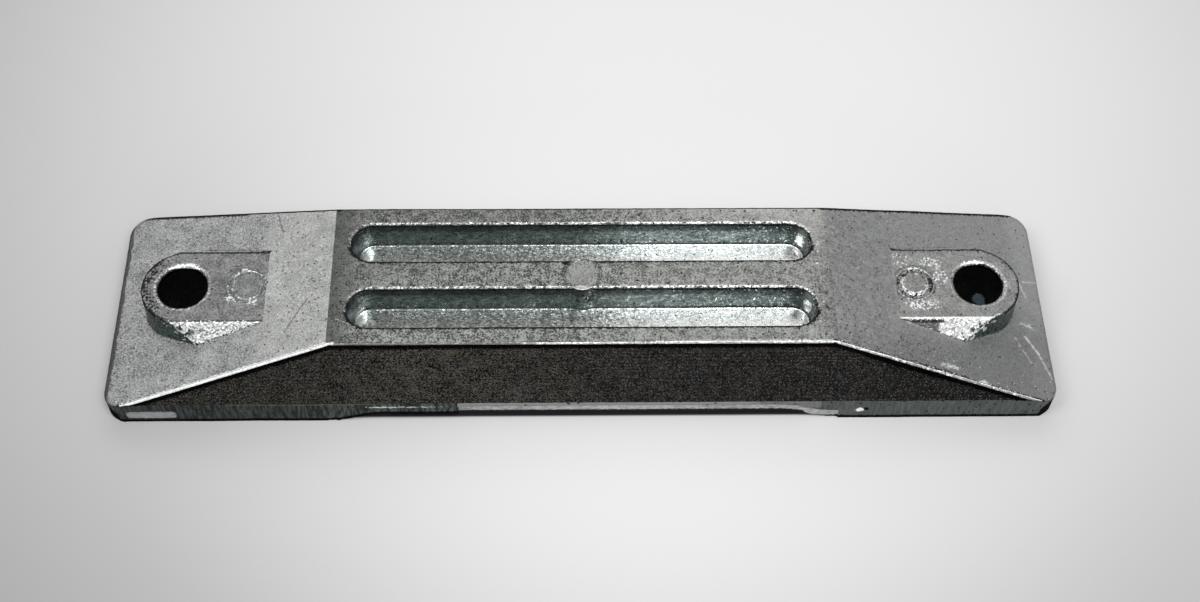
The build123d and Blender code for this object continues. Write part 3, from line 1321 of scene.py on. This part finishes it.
@dataclass(frozen=True)
class Tint:
    """A colour that comes in along one way over a surface.

    Attributes:
        colour: The colour.
        along: The way it comes in.
        clear: Distance that way, in millimetres, at which none shows.
        full: Distance at which it shows in full.
        share: How much of it shows in full.
        ragged: How far its edge wanders, in millimetres.
        size: Size of the wandering, in millimetres.
        flecks: Share of small cells that take it, or 0 for all of the surface.
    """

    colour: Colour
    along: Point
    clear: float
    full: float
    share: float = 1.0
    ragged: float = 0.0
    size: float = 1.5
    flecks: float = 0.0

    def mask(
        self, bench: NodeBench, effects: Effects, place: bpy.types.NodeSocket
    ) -> bpy.types.NodeSocket:
        """Says where it shows.

        Args:
            bench: Where the nodes go.
            effects: The shared effects.
            place: The surface point.

        Returns:
            The mask.
        """
        fade = bench.effect(
            effects.fade, place, Along=self.along, Clear=self.clear, Full=self.full,
            Ragged=self.ragged, Size=self.size,
        )
        mask = bench.math("MULTIPLY", fade["Mask"], self.share)
        if not self.flecks:
            return mask
        flecks = bench.effect(effects.specks, place, Size=self.size, Share=self.flecks)
        return bench.math("MULTIPLY", mask, flecks["Mask"])


@dataclass(frozen=True)
class Stroke:
    """A scratch, seen in plan and in millimetres.

    Attributes:
        start: One end.
        end: The other end.
        colour: Its colour.
        width: Its half width.
        share: How strongly it shows.
        ragged: How far its edge wanders.
        radius: Distance at which it runs round the line between its ends, or 0 to run along it.
    """

    start: tuple[float, float]
    end: tuple[float, float]
    colour: Colour
    width: float = 0.2
    share: float = 0.8
    ragged: float = 0.4
    radius: float = 0.0

    def mask(
        self, bench: NodeBench, effects: Effects, place: bpy.types.NodeSocket
    ) -> bpy.types.NodeSocket:
        """Says where it shows.

        Args:
            bench: Where the nodes go.
            effects: The shared effects.
            place: The surface point.

        Returns:
            The mask.
        """
        line = bench.effect(
            effects.stroke, place, Start=(*self.start, 0.0), End=(*self.end, 0.0),
            Radius=self.radius, Width=self.width, Ragged=self.ragged,
        )
        return bench.math("MULTIPLY", line["Mask"], self.share)


@dataclass(frozen=True)
class Patch:
    """A box-shaped place with round corners and a colour of its own, in millimetres.

    Attributes:
        colour: The colour.
        centre: Its middle.
        half: Its half sizes, without the rounding.
        share: How strongly it shows.
        round: Radius of its corners, which adds to its size.
        ragged: How far its edge wanders.
    """

    colour: Colour
    centre: Point
    half: Point
    share: float = 1.0
    round: float = 0.4
    ragged: float = 0.4

    def mask(
        self, bench: NodeBench, effects: Effects, place: bpy.types.NodeSocket
    ) -> bpy.types.NodeSocket:
        """Says where it shows.

        Args:
            bench: Where the nodes go.
            effects: The shared effects.
            place: The surface point.

        Returns:
            The mask.
        """
        area = bench.effect(
            effects.patch, place, Centre=self.centre, Half=self.half, Round=self.round,
            Ragged=self.ragged,
        )
        return bench.math("MULTIPLY", area["Mask"], self.share)


@dataclass(frozen=True)
class ZincFinish:
    """One finish of the cast zinc.

    Attributes:
        dark: Colour of the grain's low parts.
        light: Colour of the grain's high parts.
        bright: Colour of the lighter layer: worn skin and painted glints.
        dirt_and_shade_colour: Colour of the darker layer: soiling and painted shade.
        dull: Roughness of the dark grain.
        smooth: Roughness of the light grain.
        metal: How metallic the skin is.
        shine: How strongly the skin reflects where it is not metallic.
        grain: Grain size in millimetres.
        stretch: How much finer the grain is along each axis.
        patch: Size of the lighter and darker patches, in millimetres.
        contrast: How strongly the grain shows.
        mottle: How strongly the patches show.
        level: Share of the light colour.
        lift: Height of the fine grain's bump, in millimetres.
        crystal: Crystal size in millimetres.
        tilt: How far the crystals lean.
        pits: Share of the skin with dark pits.
        wear_and_glint_share: How strongly the lighter layer shows.
        dirt_and_shade_share: How strongly the darker layer shows.
        breaks: How broken the places of both layers are.
        tints: Colours that come in over part of it.
        patches: Places with a colour of their own.
        strokes: Its scratches.
    """

    dark: Colour
    light: Colour
    bright: Colour = WHITE
    dirt_and_shade_colour: Colour = BLACK
    dull: float = 0.6
    smooth: float = 0.4
    metal: float = 0.9
    shine: float = 0.5
    grain: float = 0.45
    stretch: Point = (1.0, 1.0, 1.0)
    patch: float = 7.0
    contrast: float = 1.0
    mottle: float = 0.5
    level: float = 0.5
    lift: float = 0.05
    crystal: float = 0.3
    tilt: float = 0.25
    pits: float = 0.06
    wear_and_glint_share: float = 1.0
    dirt_and_shade_share: float = 0.95
    breaks: float = 1.5
    tints: tuple[Tint, ...] = ()
    patches: tuple[Patch, ...] = ()
    strokes: tuple[Stroke, ...] = ()

    def material(self, zone: Zone, effects: Effects) -> bpy.types.Material:
        """Builds the material.

        Args:
            zone: The zone it is for, which names it.
            effects: The shared effects.

        Returns:
            The new material.
        """
        made = bpy.data.materials.new("zinc_" + zone.value)
        made.use_nodes = True
        made.node_tree.nodes.clear()
        bench = NodeBench(made.node_tree)
        place = bench.vector("SCALE", bench.add("TexCoord").outputs["Object"], 1.0 / MM)
        grain = bench.effect(
            effects.grain, place, Stretch=self.stretch, Size=self.grain, Patch=self.patch,
            Contrast=self.contrast, Mottle=self.mottle, Level=self.level,
        )
        spangle = bench.effect(effects.spangle, place, Size=self.crystal, Tilt=self.tilt)
        bump = bench.add("Bump")
        bump.inputs["Strength"].default_value = 1.0
        bump.inputs["Distance"].default_value = self.lift * MM
        bench.feed(bump.inputs["Height"], grain["Height"])
        bench.feed(bump.inputs["Normal"], spangle["Normal"])
        shader = bench.add("BsdfPrincipled")
        tone = grain["Tone"]
        colour, matt = self._colour(bench, effects, place, tone)
        bench.feed(shader.inputs["Base Color"], colour)
        rough = bench.remap(tone, 0.0, 1.0, self.dull, self.smooth)
        bench.feed(shader.inputs["Roughness"], bench.math("MAXIMUM", rough, matt))
        bare = bench.math("SUBTRACT", 1.0, matt)
        bench.feed(shader.inputs["Metallic"], bench.math("MULTIPLY", bare, self.metal))
        bench.feed(shader.inputs["Specular IOR Level"], bench.math("MULTIPLY", bare, self.shine))
        bench.feed(shader.inputs["Normal"], bump.outputs["Normal"])
        bench.feed(bench.add("OutputMaterial").inputs["Surface"], shader.outputs[0])
        return made

    def _colour(
        self,
        bench: NodeBench,
        effects: Effects,
        place: bpy.types.NodeSocket,
        tone: bpy.types.NodeSocket,
    ) -> tuple[bpy.types.NodeSocket, bpy.types.NodeSocket]:
        """Lays tints, patches, pits, scratches and both layers over the grain's two colours.

        Args:
            bench: Where the nodes go.
            effects: The shared effects.
            place: The surface point.
            tone: The grain's tone.

        Returns:
            The colour, and how far the darker layer makes it matt.
        """
        pit_size, gap_size = 1.6 * self.grain, 1.2 * self.grain
        pit_shade = 0.35
        colour = bench.mix(tone, self.dark, self.light)
        for mark in (*self.tints, *self.patches):
            colour = bench.mix(mark.mask(bench, effects, place), colour, mark.colour)
        if self.pits:
            pit = bench.effect(effects.specks, place, Size=pit_size, Share=self.pits)
            colour = bench.mix(pit["Mask"], colour, tuple(pit_shade * c for c in self.dark))
        for stroke in self.strokes:
            colour = bench.mix(stroke.mask(bench, effects, place), colour, stroke.colour)
        # The darker layer lays soiling and painted shade, the lighter one worn skin and painted
        # glints.
        masks = {}
        for name, share, shade in ((DIRT_AND_SHADE, self.dirt_and_shade_share, self.dirt_and_shade_colour), (WEAR_AND_GLINT, self.wear_and_glint_share, self.bright)):
            amount = bench.add("Attribute", attribute_name=name).outputs["Fac"]
            layer_amount = bench.effect(
                effects.broken, place, Amount=amount, Breaks=self.breaks, Size=gap_size
            )
            masks[name] = bench.math("MULTIPLY", layer_amount["Mask"], share)
            colour = bench.mix(masks[name], colour, shade)
        return colour, bench.math("SUBTRACT", masks[DIRT_AND_SHADE], masks[WEAR_AND_GLINT], clamp=True)


def all_over(colour: Colour, share: float, size: float, flecks: float) -> Tint:
    """Makes a tint of small flecks over a whole finish.

    Args:
        colour: Their colour.
        share: How strongly they show.
        size: Size of the cells that they fill, in millimetres.
        flecks: Share of those cells that take it.

    Returns:
        The tint.
    """
    before_bar = -90.0
    return Tint(colour, ALONG, before_bar, before_bar + 1.0, share, 0.0, size, flecks)


def ring(
    centre: tuple[float, float],
    colour: Colour,
    width: float,
    share: float,
    ragged: float,
    radius: float = 0.0,
) -> Stroke:
    """Makes a round scratch, or a round spot where its radius is 0.

    Args:
        centre: Its middle in plan, in millimetres.
        colour: Its colour.
        width: Its half width.
        share: How strongly it shows.
        ragged: How far its edge wanders.
        radius: Its radius.

    Returns:
        The stroke.
    """
    return Stroke(centre, centre, colour, width, share, ragged, radius)


# Tints: colour, way, clear, full, share, ragged, size, flecks. Patches: colour, centre, half,
# share, round, ragged. Strokes: start, end, colour, width, share, ragged, radius.
FINISHES: dict[Zone, ZincFinish] = {
    Zone.PLATEAU: ZincFinish(
        dark=(0.07, 0.074, 0.07), light=(0.42, 0.43, 0.41),
        grain=0.30, patch=1.4, contrast=1.6, mottle=0.8, tilt=0.25, wear_and_glint_share=0.6,
        tints=(
            Tint((0.07, 0.075, 0.07), BACK, 36.0, 43.0, 0.7, 6.0, 2.0),
            Tint((0.46, 0.46, 0.44), ALONG, -4.0, 18.0, 0.25, 14.0, 4.0),
            Tint((0.10, 0.105, 0.10), (-0.45, 1.0, 0.0), 6.0, 18.0, 0.35, 6.0, 3.0),
            Tint((0.13, 0.13, 0.125), ALONG, 38.0, 43.0, 0.25, 4.0, 2.0),
            Tint((0.62, 0.62, 0.60), (0.3, 1.0, 0.0), 15.0, 24.0, 0.35, 4.0, 1.0),
            all_over(grey(0.03), 0.8, 0.7, 0.07),
            Tint(WHITE, ALONG, 35.0, 42.0, 0.7, 4.0, 0.5, 0.06),
        ),
        strokes=(
            ring((0.0, 0.0), (0.37, 0.375, 0.36), 3.4, 0.6, 0.5),
            ring((0.0, 0.0), grey(0.04), 0.16, 0.7, 0.6, 3.4),
            Stroke((-3.3, 2.9), (-2.4, 1.9), grey(0.02), 0.4, 0.95, 0.4),
            Stroke((-42.0, -9.0), (-38.6, -10.6), grey(0.5), 0.12, 0.6, 0.3),
        ),
    ),
    Zone.RAMP: ZincFinish(
        dark=(0.16, 0.165, 0.165), light=(0.54, 0.548, 0.54),
        grain=0.28, patch=3.0, contrast=1.0, mottle=0.4, lift=0.03, tilt=0.17, pits=0.03,
        tints=(
            Tint((0.68, 0.69, 0.66), ALONG, -57.0, -54.5, 0.26, 2.0, 1.2),
            Tint(WHITE, ALONG, -57.0, -53.0, 0.5, 3.0, 0.42, 0.16),
            Tint(grey(0.12), ALONG, -57.0, -53.0, 0.5, 3.0, 0.40, 0.12),
            Tint((0.25, 0.245, 0.265), ALONG, 20.0, 30.0, 0.27),
            Tint(grey(0.07), ALONG, 38.0, 46.0, 0.5, 12.0, 0.5, 0.24),
            Tint(grey(0.10), ALONG, 38.0, 46.0, 0.17, 70.0, 0.8),
            Tint((0.70, 0.70, 0.72), ALONG, 48.0, 56.0, 0.15, 80.0, 1.2),
            Tint(grey(0.04), BACK, 81.5, 81.8, 0.8, 1.0, 1.5),
            Tint((0.45, 0.445, 0.465), (0.25, 1.0, 0.0), 24.0, 38.0, 0.25, 6.0, 3.0),
            Tint((0.60, 0.61, 0.60), ALONG, 77.0, 80.0, 0.3, 5.0, 1.2),
            Tint(grey(0.10), (0.3, -1.0, 0.0), 23.0, 33.0, 0.32, 8.0, 2.0),
            Tint(grey(0.08), BACK, -64.0, -44.0, 0.6, 14.0, 0.7, 0.16),
            Tint(WHITE, (0.0, -1.0, 0.0), 8.0, 19.0, 0.6, 8.0, 0.45, 0.05),
        ),
        strokes=(
            Stroke((-50.9, -10.1), (-47.3, -4.0), grey(0.09), 0.16, 0.7, 0.3),
            Stroke((-54.3, 15.5), (-53.0, 11.5), grey(0.08), 0.25, 0.6, 0.6),
            Stroke((-54.3, 17.6), (-53.2, 15.6), grey(0.08), 0.25, 0.5, 0.6),
            Stroke((-81.4, -5.6), (-79.4, -3.8), grey(0.1), 0.2, 0.5, 0.5),
            Stroke((78.9, 4.4), (79.8, 1.6), WHITE, 0.28, 0.5, 0.9),
            Stroke((78.3, -7.0), (80.2, -10.2), WHITE, 0.34, 0.8, 0.7),
            Stroke((80.2, -10.2), (82.0, -15.0), WHITE, 0.26, 0.6, 0.9),
            Stroke((76.2, -7.4), (78.6, -12.4), WHITE, 0.2, 0.4, 0.9),
            Stroke((79.8, 5.0), (83.4, 5.4), WHITE, 0.26, 0.5, 0.8),
            Stroke((62.8, -3.6), (64.6, -8.0), grey(0.10), 0.14, 0.4, 0.6),
            Stroke((-72.0, 7.5), (-55.2, 7.45), grey(0.03), 0.22, 0.75, 0.5),
            Stroke((-56.8, 7.2), (-55.2, 6.6), grey(0.03), 0.3, 0.6, 0.6),
        ),
    ),
    # The near-black colours are painted shade: the flanks' dark reflection of the room in front.
    Zone.FLANK: ZincFinish(
        dark=grey(0.001), light=(0.080, 0.076, 0.063), bright=(0.30, 0.30, 0.28),
        dirt_and_shade_colour=grey(0.001),
        dull=0.8, smooth=0.6, metal=0.1, shine=0.05, grain=0.19, stretch=(0.7, 1.0, 1.0),
        patch=2.2, contrast=2.0, mottle=0.45, level=0.42, lift=0.08, crystal=0.3, tilt=0.45,
        pits=0.25, wear_and_glint_share=0.3,
        tints=(
            Tint((0.006, 0.006, 0.008), ALONG, -34.0, 30.0, 0.55, 20.0, 5.0),
            Tint(grey(0.006), BACK, 28.0, 55.0, 0.4, 10.0, 3.0),
            Tint(grey(0.006), ALONG, 44.0, 58.0, 0.4, 8.0, 2.0),
            all_over((0.118, 0.110, 0.086), 0.85, 0.29, 0.26),
            all_over((0.08, 0.082, 0.11), 0.9, 0.34, 0.20),
            all_over(grey(0.001), 1.0, 0.40, 0.30),
        ),
    ),
    Zone.BAND: ZincFinish(
        dark=(0.008, 0.012, 0.011), light=(0.075, 0.092, 0.085), bright=grey(0.9),
        dirt_and_shade_colour=grey(0.002),
        dull=0.7, smooth=0.5, metal=0.3, shine=0.25, grain=0.4, stretch=(1.0, 1.0, 0.15),
        contrast=1.6, patch=4.0, mottle=0.6, breaks=0.7,
        tints=(
            Tint((0.095, 0.11, 0.105), ALONG, 28.0, 48.0, 0.65, 10.0, 4.0),
            Tint((0.006, 0.008, 0.007), BACK, 30.0, 55.0, 0.5, 8.0, 3.0),
        ),
        patches=(
            Patch((0.28, 0.285, 0.28), (4.5, NEAR_Y, 5.2), (25.8, 0.5, 0.6), 0.9, 0.35, 0.5),
            Patch((0.19, 0.2, 0.19), (35.0, NEAR_Y, 4.8), (5.6, 0.5, 0.6), 0.75, 0.8, 0.7),
            Patch((0.10, 0.105, 0.09), (-48.0, NEAR_Y, 5.6), (13.0, 0.5, 0.0), 0.5, 0.3, 0.6),
        ),
    ),
    # The near-white colours paint the highlight along the rounded near top edge; tints dim it in
    # places.
    Zone.EDGE: ZincFinish(
        dark=(0.36, 0.37, 0.36), light=(0.95, 0.96, 0.95),
        dull=0.34, smooth=0.20, metal=0.4, grain=0.35, contrast=2.2, mottle=0.6, patch=2.0,
        tilt=0.3, level=0.40,
        tints=(
            Tint((0.12, 0.125, 0.12), BACK, 6.0, 11.0, 0.92, 12.0, 1.2),
            Tint((0.16, 0.165, 0.16), ALONG, 2.0, 8.0, 0.3, 6.0, 0.8),
            Tint((0.20, 0.205, 0.20), ALONG, 44.0, 54.0, 0.6, 12.0, 1.0),
            Tint(WHITE, ALONG, 44.0, 50.0, 0.9, 3.0, 0.8, 0.4),
            Tint(WHITE, BACK, 41.5, 43.0, 0.9),
        ),
    ),
    # The dark colours paint the shade on the rims and edges that face back.
    Zone.RIM: ZincFinish(
        dark=(0.015, 0.016, 0.015), light=(0.10, 0.105, 0.10), bright=grey(0.30),
        contrast=1.6, tilt=0.3, wear_and_glint_share=0.4,
    ),
    # The light colour paints the highlight on the hole rims and front-facing slot rims, dimmer
    # towards the left.
    Zone.LIP: ZincFinish(
        dark=(0.05, 0.052, 0.05), light=(0.80, 0.81, 0.80),
        dull=0.4, smooth=0.25, metal=0.8, grain=0.4, contrast=2.6, mottle=1.2, patch=3.0,
        level=0.30, tilt=0.3,
        tints=(Tint((0.09, 0.092, 0.09), BACK, -20.0, 20.0, 0.5, 30.0, 1.0),),
    ),
    # The dark band near the top is a painted reflection, and the white flecks towards the right are
    # painted glints.
    Zone.SLOT_WALL: ZincFinish(
        dark=(0.135, 0.18, 0.175), light=(0.37, 0.43, 0.42),
        dull=0.28, smooth=0.16, metal=1.0, contrast=1.4, lift=0.01, crystal=0.22, tilt=0.12,
        pits=0.08, dirt_and_shade_share=0.8, wear_and_glint_share=0.8, stretch=(0.5, 0.5, 1.0),
        tints=(
            Tint((0.055, 0.055, 0.048), UP, 13.8, 14.4, 0.62, 1.6, 0.6),
            Tint((0.05, 0.068, 0.066), (1.0, -0.9, 0.0), 8.0, 32.0, 0.65, 16.0, 1.5),
            Tint(WHITE, ALONG, 0.0, 30.0, 0.85, 12.0, 0.42, 0.13),
        ),
    ),
    # The near-white tints towards the right paint the reflection of a lamp in the floors.
    Zone.SLOT_FLOOR: ZincFinish(
        dark=(0.16, 0.165, 0.157), light=(0.50, 0.50, 0.48),
        dull=0.36, smooth=0.22, metal=0.9, grain=0.3, contrast=1.8, lift=0.03, crystal=0.2,
        tilt=0.22, pits=0.06, dirt_and_shade_share=0.8, wear_and_glint_share=1.0, stretch=(0.5, 1.0, 1.0),
        tints=(
            Tint((1.0, 0.98, 0.98), (1.0, 0.2, 0.0), -4.0, 16.0, 1.0, 46.0, 0.4),
            Tint((1.0, 0.99, 0.98), (1.0, -1.0, 0.0), 22.0, 28.0, 0.9, 4.0, 1.2),
            Tint(grey(0.10), ALONG, 12.0, 15.0, 0.8, 4.0, 0.34, 0.12),
        ),
    ),
    Zone.PAD: ZincFinish(
        dark=(0.12, 0.124, 0.12), light=(0.35, 0.355, 0.35),
        grain=0.34, patch=2.0, mottle=0.6, lift=0.04, tilt=0.2, breaks=3.0, wear_and_glint_share=0.95,
        tints=(Tint((0.52, 0.53, 0.51), ALONG, 30.0, 40.0, 0.22, 8.0, 1.5),),
        strokes=(
            Stroke((-HOLE_X, 0.0), (-40.0, 0.0), grey(0.03), 0.2, 0.8, 0.35, 7.1),
            Stroke((HOLE_X, 0.0), (40.0, 0.0), grey(0.03), 0.2, 0.55, 0.5, 7.1),
            # Painted highlight along the right pad's near edge.
            Stroke((54.9, -7.1), (72.0, -7.1), WHITE, 0.2, 0.95, 0.2),
            # Painted highlights round the bolt holes' rims.
            ring((-HOLE_X, 0.0), WHITE, 0.12, 0.3, 0.8, 4.9),
            ring((HOLE_X, 0.0), WHITE, 0.12, 0.3, 0.8, 4.9),
            ring((-58.6, 0.2), grey(0.08), 0.16, 0.5, 0.6, 3.5),
            # Painted glint by the left pin.
            Stroke((-59.4, 3.5), (-58.8, 3.6), WHITE, 0.3, 0.9, 0.4),
            ring((58.3, 0.1), grey(0.05), 0.2, 0.5, 0.6, 3.7),
        ),
    ),
    # The white light colour and white patch paint glints on the bosses' sloping flanks.
    Zone.FACET: ZincFinish(
        dark=(0.22, 0.24, 0.235), light=grey(1.0),
        dull=0.30, smooth=0.18, metal=0.35, grain=0.35, contrast=3.0, level=0.62,
        crystal=0.4, tilt=0.55, breaks=2.0,
        patches=(
            Patch((0.12, 0.12, 0.115), (55.0, -9.0, 11.0), (6.2, 3.0, 3.0), 0.95, 1.0, 2.0),
            Patch(grey(1.0), (66.5, -9.0, 9.5), (3.6, 3.0, 3.0), 0.26, 1.5, 2.0),
        ),
        strokes=(Stroke((55.0, -7.6), (62.5, -7.6), grey(0.01), 0.32, 0.9, 0.3),),
    ),
    Zone.DRUM: ZincFinish(
        dark=(0.02, 0.034, 0.03), light=(0.17, 0.225, 0.20), bright=(0.6, 0.62, 0.61),
        dull=0.5, smooth=0.3, contrast=1.6, tilt=0.3, breaks=2.0,
    ),
    # The near-black colours paint the shade down the bolt holes, and the bright colour paints
    # bluish glints low in them.
    Zone.BORE: ZincFinish(
        dark=grey(0.001), light=(0.004, 0.005, 0.005), bright=(0.26, 0.36, 0.44),
        dirt_and_shade_colour=grey(0.0), dull=0.7, smooth=0.5, metal=0.2, shine=0.1,
    ),
    Zone.SCAR: ZincFinish(
        dark=(0.19, 0.195, 0.195), light=(0.50, 0.51, 0.51), bright=grey(0.7),
        dirt_and_shade_colour=grey(0.001),
        dull=0.55, smooth=0.4, metal=0.2, tilt=0.2, grain=0.5, stretch=(0.5, 1.0, 1.0), wear_and_glint_share=0.3,
        breaks=0.7,
        tints=(Tint((0.30, 0.305, 0.32), BACK, 60.0, 66.0, 0.6),),
    ),
    Zone.SEAT: ZincFinish(
        dark=(0.14, 0.144, 0.144), light=(0.36, 0.365, 0.36), dull=0.6, smooth=0.45,
    ),
}


@dataclass
class Table:
    """The table top under the casting, with painted light palest round it and dark grey far away.

    Attributes:
        side: Length of its side, in metres.
        middle: Colour a little way off.
        far: Colour far away.
        pale: Colour close round the casting, where the painted light is brightest.
        shaded: Colour of the painted shadow right under the casting.
        centre: Point round which the middle colour lies.
        near_reach: Distance from there at which it starts to fade to the far colour.
        far_reach: Distance at which it is gone.
        pool_centre: Where the pale colour is fullest.
        pool_reach: Distance from there at which it is gone.
        shadow_half: Half sizes of the painted shadow under the raised middle of the underside.
        shadow_fade: How far outside it the painted shadow fades.
        roughness: How matt it is.
    """

    side: float = 6.0
    middle: Colour = (0.737, 0.727, 0.733)
    far: Colour = (0.10, 0.10, 0.105)
    pale: Colour = (0.807, 0.797, 0.803)
    shaded: Colour = (0.02, 0.02, 0.02)
    centre: Point = (26.2 * MM, 68.7 * MM, 0.0)
    near_reach: float = 21 * MM
    far_reach: float = 288 * MM
    pool_centre: Point = (11.8 * MM, -3.9 * MM, 0.0)
    pool_reach: float = 99.3 * MM
    shadow_half: Point = (44.0 * MM, 18.9 * MM, 0.0)
    shadow_fade: float = 0.5 * MM
    roughness: float = 0.9

    def build(self) -> bpy.types.Object:
        """Makes the table top.

        Returns:
            The table's object.
        """
        half = self.side / 2
        data = bpy.data.meshes.new("table")
        data.from_pydata(
            [(-half, -half, 0), (half, -half, 0), (half, half, 0), (-half, half, 0)],
            [],
            [(0, 1, 2, 3)],
        )
        data.materials.append(self._material())
        table = bpy.data.objects.new("table", data)
        bpy.context.scene.collection.objects.link(table)
        log.info("table: %.1f m square", self.side)
        return table

    def _material(self) -> bpy.types.Material:
        """Matt: painted light pale round the casting, grey far away, and dark painted shadow right
        under it.
        """
        made = bpy.data.materials.new("pale_table")
        made.use_nodes = True
        tree = made.node_tree
        tree.nodes.clear()
        bench = NodeBench(tree)
        place = bench.add("TexCoord").outputs["Object"]
        away = bench.vector("LENGTH", bench.vector("SUBTRACT", place, self.centre))
        fall = bench.remap(away, self.near_reach, self.far_reach)
        around = bench.vector("LENGTH", bench.vector("SUBTRACT", place, self.pool_centre))
        pool = bench.remap(around, self.pool_reach, 0.0)
        open_colour = bench.mix(pool, bench.mix(fall, self.middle, self.far), self.pale)
        # Painted shadow under the raised middle of the casting's underside.
        inside = bench.vector("SUBTRACT", bench.vector("ABSOLUTE", place), self.shadow_half)
        out = bench.vector("LENGTH", bench.vector("MAXIMUM", inside, (0.0, 0.0, 0.0)))
        in_shadow = bench.remap(out, self.shadow_fade, 0.0)
        shader = bench.add("BsdfPrincipled")
        bench.feed(shader.inputs["Base Color"], bench.mix(in_shadow, open_colour, self.shaded))
        shader.inputs["Roughness"].default_value = self.roughness
        bench.feed(bench.add("OutputMaterial").inputs["Surface"], shader.outputs[0])
        return made


@dataclass(frozen=True)
class Softbox:
    """A flat soft lamp that faces the casting.

    Attributes:
        name: What the lamp is called.
        toward: The way from the casting to the lamp.
        away: Distance in metres.
        wide: Width in metres.
        tall: Height in metres.
        radiance: How bright its face is, where 1 is paper white.
    """

    name: str
    toward: Point
    away: float
    wide: float
    tall: float
    radiance: float

    def build(self) -> bpy.types.Object:
        """Adds the lamp.

        Returns:
            The lamp's object.
        """
        data = bpy.data.lights.new(self.name, "AREA")
        data.shape = "RECTANGLE"
        data.size = self.wide
        data.size_y = self.tall
        data.energy = self.radiance * math.pi * self.wide * self.tall
        lamp = bpy.data.objects.new(self.name, data)
        way = Vector(self.toward).normalized()
        lamp.location = way * self.away
        lamp.rotation_mode = "QUATERNION"
        lamp.rotation_quaternion = way.to_track_quat("Z", "Y")
        bpy.context.scene.collection.objects.link(lamp)
        log.info("lamp %s: %.2f by %.2f m", self.name, self.wide, self.tall)
        return lamp


LAMPS = (
    Softbox("key_softbox", (0.24, -0.40, 0.88), 1.2, 0.44, 0.66, 9.0),
    Softbox("left_softbox", (-0.55, -0.22, 0.80), 1.2, 0.45, 0.60, 4.0),
    Softbox("back_panel", (-0.35, 0.70, 0.62), 1.6, 1.80, 0.90, 1.0),
    Softbox("right_panel", (0.22, 0.58, 0.78), 1.6, 0.90, 0.70, 1.0),
    Softbox("front_softbox", (0.0, -0.948, 0.317), 1.4, 1.10, 0.26, 2.4),
)


@dataclass
class Surround:
    """The even light of the room."""

    level: float = 0.34

    def build(self) -> bpy.types.World:
        """Sets the scene's world.

        Returns:
            The world.
        """
        world = bpy.data.worlds.new("room")
        world.use_nodes = True
        world.node_tree.nodes.clear()
        bench = NodeBench(world.node_tree)
        shade = bench.add("Background")
        shade.inputs["Color"].default_value = (1.0, 1.0, 1.0, 1.0)
        shade.inputs["Strength"].default_value = self.level
        bench.feed(bench.add("OutputWorld").inputs["Surface"], shade.outputs[0])
        bpy.context.scene.world = world
        log.info("room light: %.2f", self.level)
        return world


@dataclass
class Viewpoint:
    """The camera that looks down at the casting from the front.

    Attributes:
        image_width: Width of the picture in pixels.
        focal_pixels: Focal length in those pixels.
        sensor: Width of the sensor in millimetres.
        aim: The point that it looks at.
        distance: How far it stands from there.
        down: How steeply it looks down.
        yaw: How far it looks to the right.
        roll: How far it is turned about its own axis.
        nearest: Distance at which it starts to see.
        farthest: Distance at which it stops.
    """

    image_width: float = 1200.0
    focal_pixels: float = 1716.43
    sensor: float = 36.0
    aim: Point = (3.365 * MM, 4.887 * MM, 0.0)
    distance: float = 313.164 * MM
    down: float = math.radians(56.5557)
    yaw: float = math.radians(2.0365)
    roll: float = math.radians(1.4382)
    nearest: float = 0.01
    farthest: float = 20.0

    def build(self) -> bpy.types.Object:
        """Adds the camera and makes it the scene's.

        Returns:
            The camera's object.
        """
        data = bpy.data.cameras.new("camera")
        data.sensor_width = self.sensor
        data.lens = self.sensor * self.focal_pixels / self.image_width
        data.clip_start = self.nearest
        data.clip_end = self.farthest
        camera = bpy.data.objects.new("camera", data)
        camera.matrix_world = self._matrix()
        bpy.context.scene.collection.objects.link(camera)
        bpy.context.scene.camera = camera
        log.info("camera: lens %.1f mm", data.lens)
        return camera

    def _matrix(self) -> Matrix:
        """Where the camera stands and how it is turned."""
        ahead = Vector(
            (
                math.sin(self.yaw) * math.cos(self.down),
                math.cos(self.yaw) * math.cos(self.down),
                -math.sin(self.down),
            )
        )
        level = Vector((math.cos(self.yaw), -math.sin(self.yaw), 0.0))
        over = level.cross(ahead)
        right = math.cos(self.roll) * level + math.sin(self.roll) * over
        up = math.cos(self.roll) * over - math.sin(self.roll) * level
        turn = Matrix((right, up, -ahead)).transposed().to_4x4()
        return Matrix.Translation(Vector(self.aim) - ahead * self.distance) @ turn


def main() -> None:
    """Builds the casting, its surroundings and the camera."""
    bpy.context.scene.view_settings.view_transform = "Standard"
    effects = Effects()
    finishes = {zone: FINISHES[zone].material(zone, effects) for zone in Zone}
    Casting(CastingSizes()).build(finishes)
    Table().build()
    for lamp in LAMPS:
        lamp.build()
    Surround().build()
    Viewpoint().build()


if __name__ == "__main__":
    logging.basicConfig(level=logging.INFO, format="%(name)s: %(message)s")
    main()
